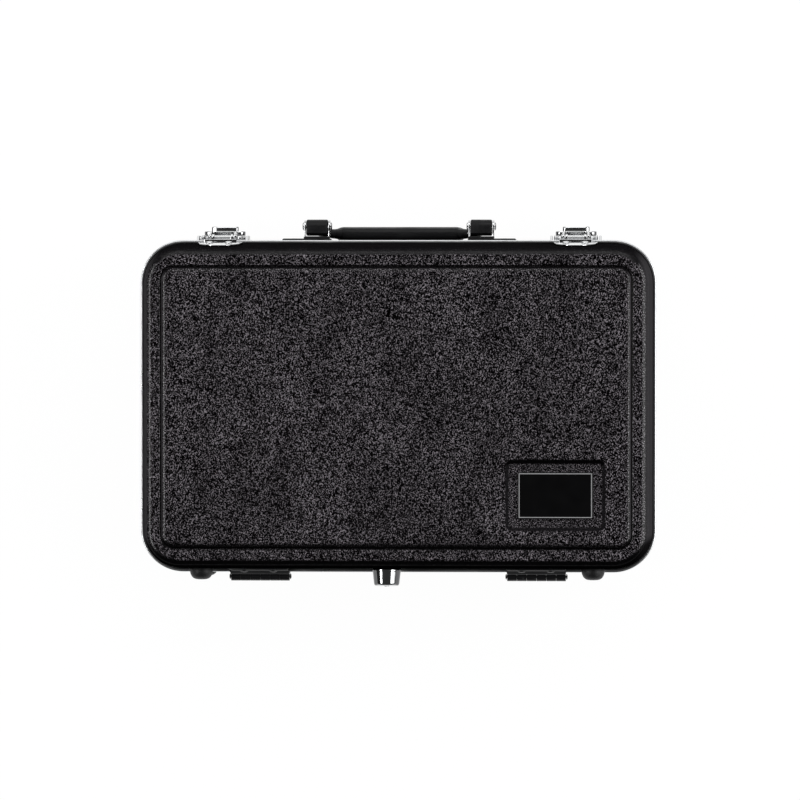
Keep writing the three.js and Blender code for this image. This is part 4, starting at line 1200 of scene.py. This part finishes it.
def smoothPath(points, steps):  # through every point, without overshoot at the flat parts
    path = []
    last = len(points) - 1
    for i in range(last):
        rows = [points[max(i - 1, 0)], points[i], points[i + 1], points[min(i + 2, last)]]
        for step in range(steps):
            t = step / steps
            weights = (
                -0.5 * t + t ** 2 - 0.5 * t ** 3, 1 - 2.5 * t ** 2 + 1.5 * t ** 3,
                0.5 * t + 2 * t ** 2 - 1.5 * t ** 3, -0.5 * t ** 2 + 0.5 * t ** 3,
            )
            mixed = [sum(w * v for w, v in zip(weights, column)) for column in zip(*rows)]
            path.append([min(value, 1) if k != 1 else min(max(value, 0), 1)
                         for k, value in enumerate(mixed)])
    path.append(list(points[-1]))
    return path


def swollen(value, width):  # half a side of the grip's squarish section
    roundness = 2 / handleSizes["roundness"]
    return math.copysign(abs(value) ** roundness, value) * width / 2


def handlePiece():
    h = handleSizes
    spot = {"x": 0, "side": -1}
    half = smoothPath(h["stations"], h["steps"])
    stations = half + [(-reach, *others) for reach, *others in reversed(half[:-1])]
    middles = [Vector((
        reach * h["spacing"] / 2, -h["pivotDrop"] - drop * h["drop"],
    )) for reach, way, drop, wide, deep in stations]
    rings = []
    for i, (reach, way, drop, wide, deep) in enumerate(stations):
        along = (middles[min(i + 1, len(middles) - 1)] - middles[max(i - 1, 0)]).normalized()
        out = h["pivotOut"] + way * (h["gripOut"] - h["pivotOut"])
        ring = []
        for step in range(h["around"]):
            angle = 2 * math.pi * step / h["around"]
            acrossGrip = swollen(math.cos(angle), wide * h["gripWidth"])
            deepGrip = swollen(math.sin(angle), deep * h["gripDepth"])
            x = middles[i].x - along.y * acrossGrip
            height = middles[i].y + along.x * acrossGrip
            ring.append(onWall(spot, x, out + deepGrip, height))
        rings.append(ring)
    parts = [newPiece("part", loftMesh("part", rings))]
    radius, back = h["bossRadius"], h["bossBack"]
    spread = math.asin(radius / back)
    arcs = (  # the boss is round in front and a wider cam behind
        (radius, -quarterTurn, math.pi, h["frontSteps"]),
        (back, math.pi - spread, 2 * spread, h["backSteps"]),
    )
    corners = []
    for reach, start, turn, steps in arcs:
        for step in range(steps + 1):
            angle = start + turn * step / steps
            out, height = reach * math.cos(angle), reach * math.sin(angle)
            corners.append((h["pivotOut"] + out, height - h["pivotDrop"], 0))
    for way in (-1, 1):
        middle = way * h["spacing"] / 2
        parts.append(across(spot, corners, middle, h["bossWidth"], h["bossEase"]))
    return united("handleSkin", parts, "handle", 40)


settle(handlePiece(), "handle_body", "handle_plastic", "handle")
print("handle moulded")

mountSizes = {
    "plinth": {"outer": 0.0236, "inner": 0.0092, "top": 0.008, "foot": 0.031, "out": 0.0032,
               "slope": 0.0016, "cornerRound": 0.0006, "edgeRound": 0.0008, "ease": 0.0009},
    "lip": {"foot": -0.0111, "top": -0.0082, "out": 0.0047, "root": 0.001, "round": 0.0006,
            "ease": 0.0004},
    "rivetSpace": {"radius": 0.0029, "from": -0.0002, "to": 0.01, "sides": 32},
    "clip": {"from": 0.0035, "thickness": 0.0012, "radius": 0.0042, "edge": 0.0002,
             "roundness": 0.98, "steps": 12},
}
clipSpan = handleSizes["bossWidth"] + 2 * (fitGap + mountSizes["clip"]["thickness"])


def plinthPiece(spot, side, end):
    p, lip, space = mountSizes["plinth"], mountSizes["lip"], mountSizes["rivetSpace"]
    middle = side * (handleSizes["spacing"] + p["outer"] - p["inner"]) / 2
    top, foot, out, slope = -p["top"], -p["foot"], p["out"], p["slope"]
    block = across(spot, [
        (wallOut(top) + fitGap, top, 0), (wallOut(foot) + fitGap, foot, 0),
        (out - slope, foot, p["cornerRound"]), (out, foot + slope, p["edgeRound"]),
        (out, top - slope, p["edgeRound"]), (out - slope, top, p["cornerRound"]),
    ], middle, p["outer"] + p["inner"], p["ease"])
    seat = across(spot, [
        (lip["root"], lip["foot"], 0), (lip["out"], lip["foot"], 0.0003),
        (lip["out"], lip["top"], lip["round"]), (lip["root"], lip["top"], 0),
    ], side * handleSizes["spacing"] / 2, clipSpan, lip["ease"])
    carved(block, seat, "UNION")
    for number in (1, 2):
        point, facing, length = rivetPlace("handle_rivet_%s_%d" % (end, number), -1, False)
        profile = [(space["radius"], space[key]) for key in ("from", "to")]
        mesh = turnedMesh("space", profile, space["sides"])
        turn = facing.to_track_quat("Z", "Y").to_matrix().to_4x4()
        mesh.transform(Matrix.Translation(point) @ turn)
        carved(block, newPiece("space", mesh))
    return block


def clipPiece(spot, side):
    c, h = mountSizes["clip"], handleSizes
    middle, rounding = side * h["spacing"] / 2, c["radius"] * c["roundness"]
    low, high = -h["pivotDrop"] - c["radius"], -h["pivotDrop"] + c["radius"]
    back, front, tip = c["from"], c["from"] + c["thickness"], h["pivotOut"] + c["radius"]
    edge = c["edge"]
    web = [(back, low, edge), (front, low, edge), (front, high, edge), (back, high, edge)]
    ear = [(back, low, 0), (tip, low, rounding), (tip, high, rounding), (back, high, 0)]
    parts = [across(spot, web, middle, clipSpan)]
    for way in (-1, 1):
        place = middle + way * (clipSpan - c["thickness"]) / 2
        parts.append(across(spot, ear, place, c["thickness"], steps=c["steps"]))
    return united("clip", parts, "chrome")


mount = {"x": 0, "side": -1}
for end, side in sides.items():
    plinth = setMaterial(plinthPiece(mount, side, end), "handle")
    plinth.name = plinth.data.name = "handlePlinth" + end.title()
    settle(smoothed(plinth), "base", "handle_plastic", "handle_plinth_" + end)
    clip = clipPiece(mount, side)
    clip.name = clip.data.name = "handleClip" + end.title()
    settle(clip, "base", "chrome", "handle_clip_" + end)
print("handle mounts made")

trimSizes = {
    "trayVoxel": 0.0026, "trayRounds": 4, "liningEase": 0.0012, "liningLimit": math.radians(34),
    "padVoxel": 0.005, "padRounds": 2, "padSize": (0.292, 0.168, 0.016), "padSteps": 8,
    "padLow": 0.0822, "padHigh": 0.0905, "padEdge": [(0.004, 0), (0.001, 0.0015), (0, 0.004)],
    "pinned": 0.003, "cap": 0.003, "frames": 20,
    "cloth": {
        "quality": 5, "mass": 0.3, "tension_stiffness": 20, "bending_stiffness": 0.6,
        "use_pressure": True, "uniform_pressure_force": 4,
    },
}


def remeshed(piece, voxel, rounds):
    modified(piece, "REMESH", mode="VOXEL", voxel_size=voxel)
    modified(piece, "SMOOTH", factor=0.5, iterations=rounds)
    flattened(piece)
    piece.data.shade_smooth()
    return piece


tray = newPiece("traySkin", cadCopy("traySkin", "instrument_tray"))
setMaterial(remeshed(tray, trimSizes["trayVoxel"], trimSizes["trayRounds"]), "plush")
settle(tray, "base", "plush", "instrument_tray")
lining = newPiece("liningSkin", cadCopy("liningSkin", "lid_lining"), "plush")
modified(
    lining, "BEVEL", width=trimSizes["liningEase"], segments=3, limit_method="ANGLE",
    angle_limit=trimSizes["liningLimit"], miter_outer="MITER_ARC",
)
settle(smoothed(flattened(lining)), "lid", "plush", "lid_lining")


def inflated(piece, pinFrom, cap):  # cloth blown up a little, held where it meets the lining
    start = [vertex.co.copy() for vertex in piece.data.vertices]
    held = piece.vertex_groups.new(name="held")
    held.add([i for i, point in enumerate(start) if point.z > pinFrom], 1, "REPLACE")
    cloth = modified(piece, "CLOTH")
    for key, value in trimSizes["cloth"].items():
        setattr(cloth.settings, key, value)
    cloth.settings.vertex_group_mass = "held"
    cloth.settings.effector_weights.gravity = 0
    cloth.point_cache.frame_start = 1
    cloth.point_cache.frame_end = trimSizes["frames"]
    for frameNumber in range(1, trimSizes["frames"] + 1):
        scene.frame_set(frameNumber)
    flattened(piece)
    for vertex, old in zip(piece.data.vertices, start):
        moved = vertex.co - old
        if moved.length > cap:
            vertex.co = old + moved.normalized() * cap
    scene.frame_set(1)
    return piece


levels = [(inset, trimSizes["padLow"] + rise) for inset, rise in trimSizes["padEdge"]]
levels.append((0, trimSizes["padHigh"]))
steps = trimSizes["padSteps"]
padRings = [levelRing(trimSizes["padSize"], inset, height, steps) for inset, height in levels]
pad = newPiece("lidPad", loftMesh("lidPad", padRings))
remeshed(pad, trimSizes["padVoxel"], trimSizes["padRounds"])
inflated(pad, trimSizes["padHigh"] - trimSizes["pinned"], trimSizes["cap"])
modified(pad, "SUBSURF", levels=1, render_levels=1)
flattened(pad)
pad.data.shade_smooth()
settle(setMaterial(pad, "plush"), "lid", "plush")
print("trim made")

view = {
    "target": (-0.0011, -0.0041, 0.054), "distance": 3.6, "frameWidth": 0.544,
    "leanUp": math.radians(1.5), "leanSide": math.radians(2.3), "sensor": 36,
}
camera = linked("camera", bpy.data.cameras.new("camera"))
scene.camera = camera
camera.data.sensor_width = view["sensor"]
camera.data.lens = view["sensor"] * view["distance"] / view["frameWidth"]
back = Vector((-math.tan(view["leanSide"]), -math.tan(view["leanUp"]), 1)).normalized()
right = Vector((0, -1, 0)).cross(back).normalized()
turn = Matrix((right, back.cross(right), back)).transposed()
eye = Vector(view["target"]) + back * view["distance"]
camera.matrix_world = Matrix.Translation(eye) @ turn.to_4x4()

# A key box in front, long boxes at both sides for the lines along the edges, low ones for the rims
lamps = {
    "keyBox": {"at": (0, -1.5, 1.4), "size": (2.4, 1.4), "power": 17},
    "leftBox": {"at": (1.3, 0, 1.3), "size": (1.6, 0.4), "power": 13},
    "rightBox": {"at": (-1.45, 0, 1.1), "size": (1.6, 0.95), "power": 18},
    "frontBox": {"at": (0, -1.9, 0.7), "size": (3.2, 0.5), "power": 4},
    "rimBox": {"at": (-1.9, -0.2, 0.6), "size": (2.0, 0.6), "power": 5},
}
for name, lamp in lamps.items():
    light = bpy.data.lights.new(name, "AREA")
    light.shape = "RECTANGLE"
    light.size, light.size_y = lamp["size"]
    light.energy = lamp["power"]
    holder = linked(name, light)
    aim = Vector(view["target"]) - Vector(lamp["at"])
    holder.location = lamp["at"]
    holder.rotation_euler = aim.to_track_quat("-Z", "Y").to_euler()

# What camera, mirror and scattered rays see of the world and the floor
studio = {
    "ambient": 0.1, "mirrored": 0.03, "floorGlow": 0.95, "floorMirrored": 0.85,
    "floorScattered": 0.3, "floorStrength": 1.02, "floorReach": 6,
    "floorPale": rgb(0.86, 0.86, 0.86), "floorDim": rgb(0.05, 0.05, 0.05),
}
world = bpy.data.worlds.new("studio")
scene.world = world
world.use_nodes = True
sky = Net(world.node_tree)
path = sky.add("ShaderNodeLightPath")
shown = path["Is Camera Ray"].maths("MAXIMUM", path["Is Transmission Ray"])
mirrored = path["Is Glossy Ray"]
scattered = (1 - shown) * (1 - mirrored)
strength = shown + mirrored * studio["mirrored"] + scattered * studio["ambient"]
lit = sky.add("ShaderNodeBackground", {"Color": rgb(1, 1, 1), "Strength": strength})
sky.add("ShaderNodeOutputWorld", {"Surface": lit})

floorMaterial = bpy.data.materials.new("studioFloor")
floorMaterial.use_nodes = True
ground = Net(floorMaterial.node_tree)
path = ground.add("ShaderNodeLightPath")
matt = ground.add("ShaderNodeBsdfDiffuse", {"Color": studio["floorPale"]})
dim = ground.add("ShaderNodeBsdfDiffuse", {"Color": studio["floorDim"]})
glow = ground.add("ShaderNodeEmission", {
    "Color": rgb(1, 1, 1), "Strength": studio["floorStrength"],
})
seen = path["Is Camera Ray"].maths("MAXIMUM", path["Is Transmission Ray"])
faded = path["Is Diffuse Ray"] * (1 - studio["floorScattered"])
shining = seen * studio["floorGlow"] + path["Is Glossy Ray"] * studio["floorMirrored"]
mixed = ground.add("ShaderNodeMixShader", [faded, matt, dim])
mixed = ground.add("ShaderNodeMixShader", [shining, mixed, glow])
ground.add("ShaderNodeOutputMaterial", {"Surface": mixed})
reach = studio["floorReach"]
floorMesh = meshOf("studioFloor", [
    (-reach, -reach, 0), (reach, -reach, 0), (reach, reach, 0), (-reach, reach, 0),
], [(0, 1, 2, 3)])
floorMesh.materials.append(floorMaterial)
floor = linked("studioFloor", floorMesh)
scene.view_settings.view_transform = "Standard"
print("stage set")
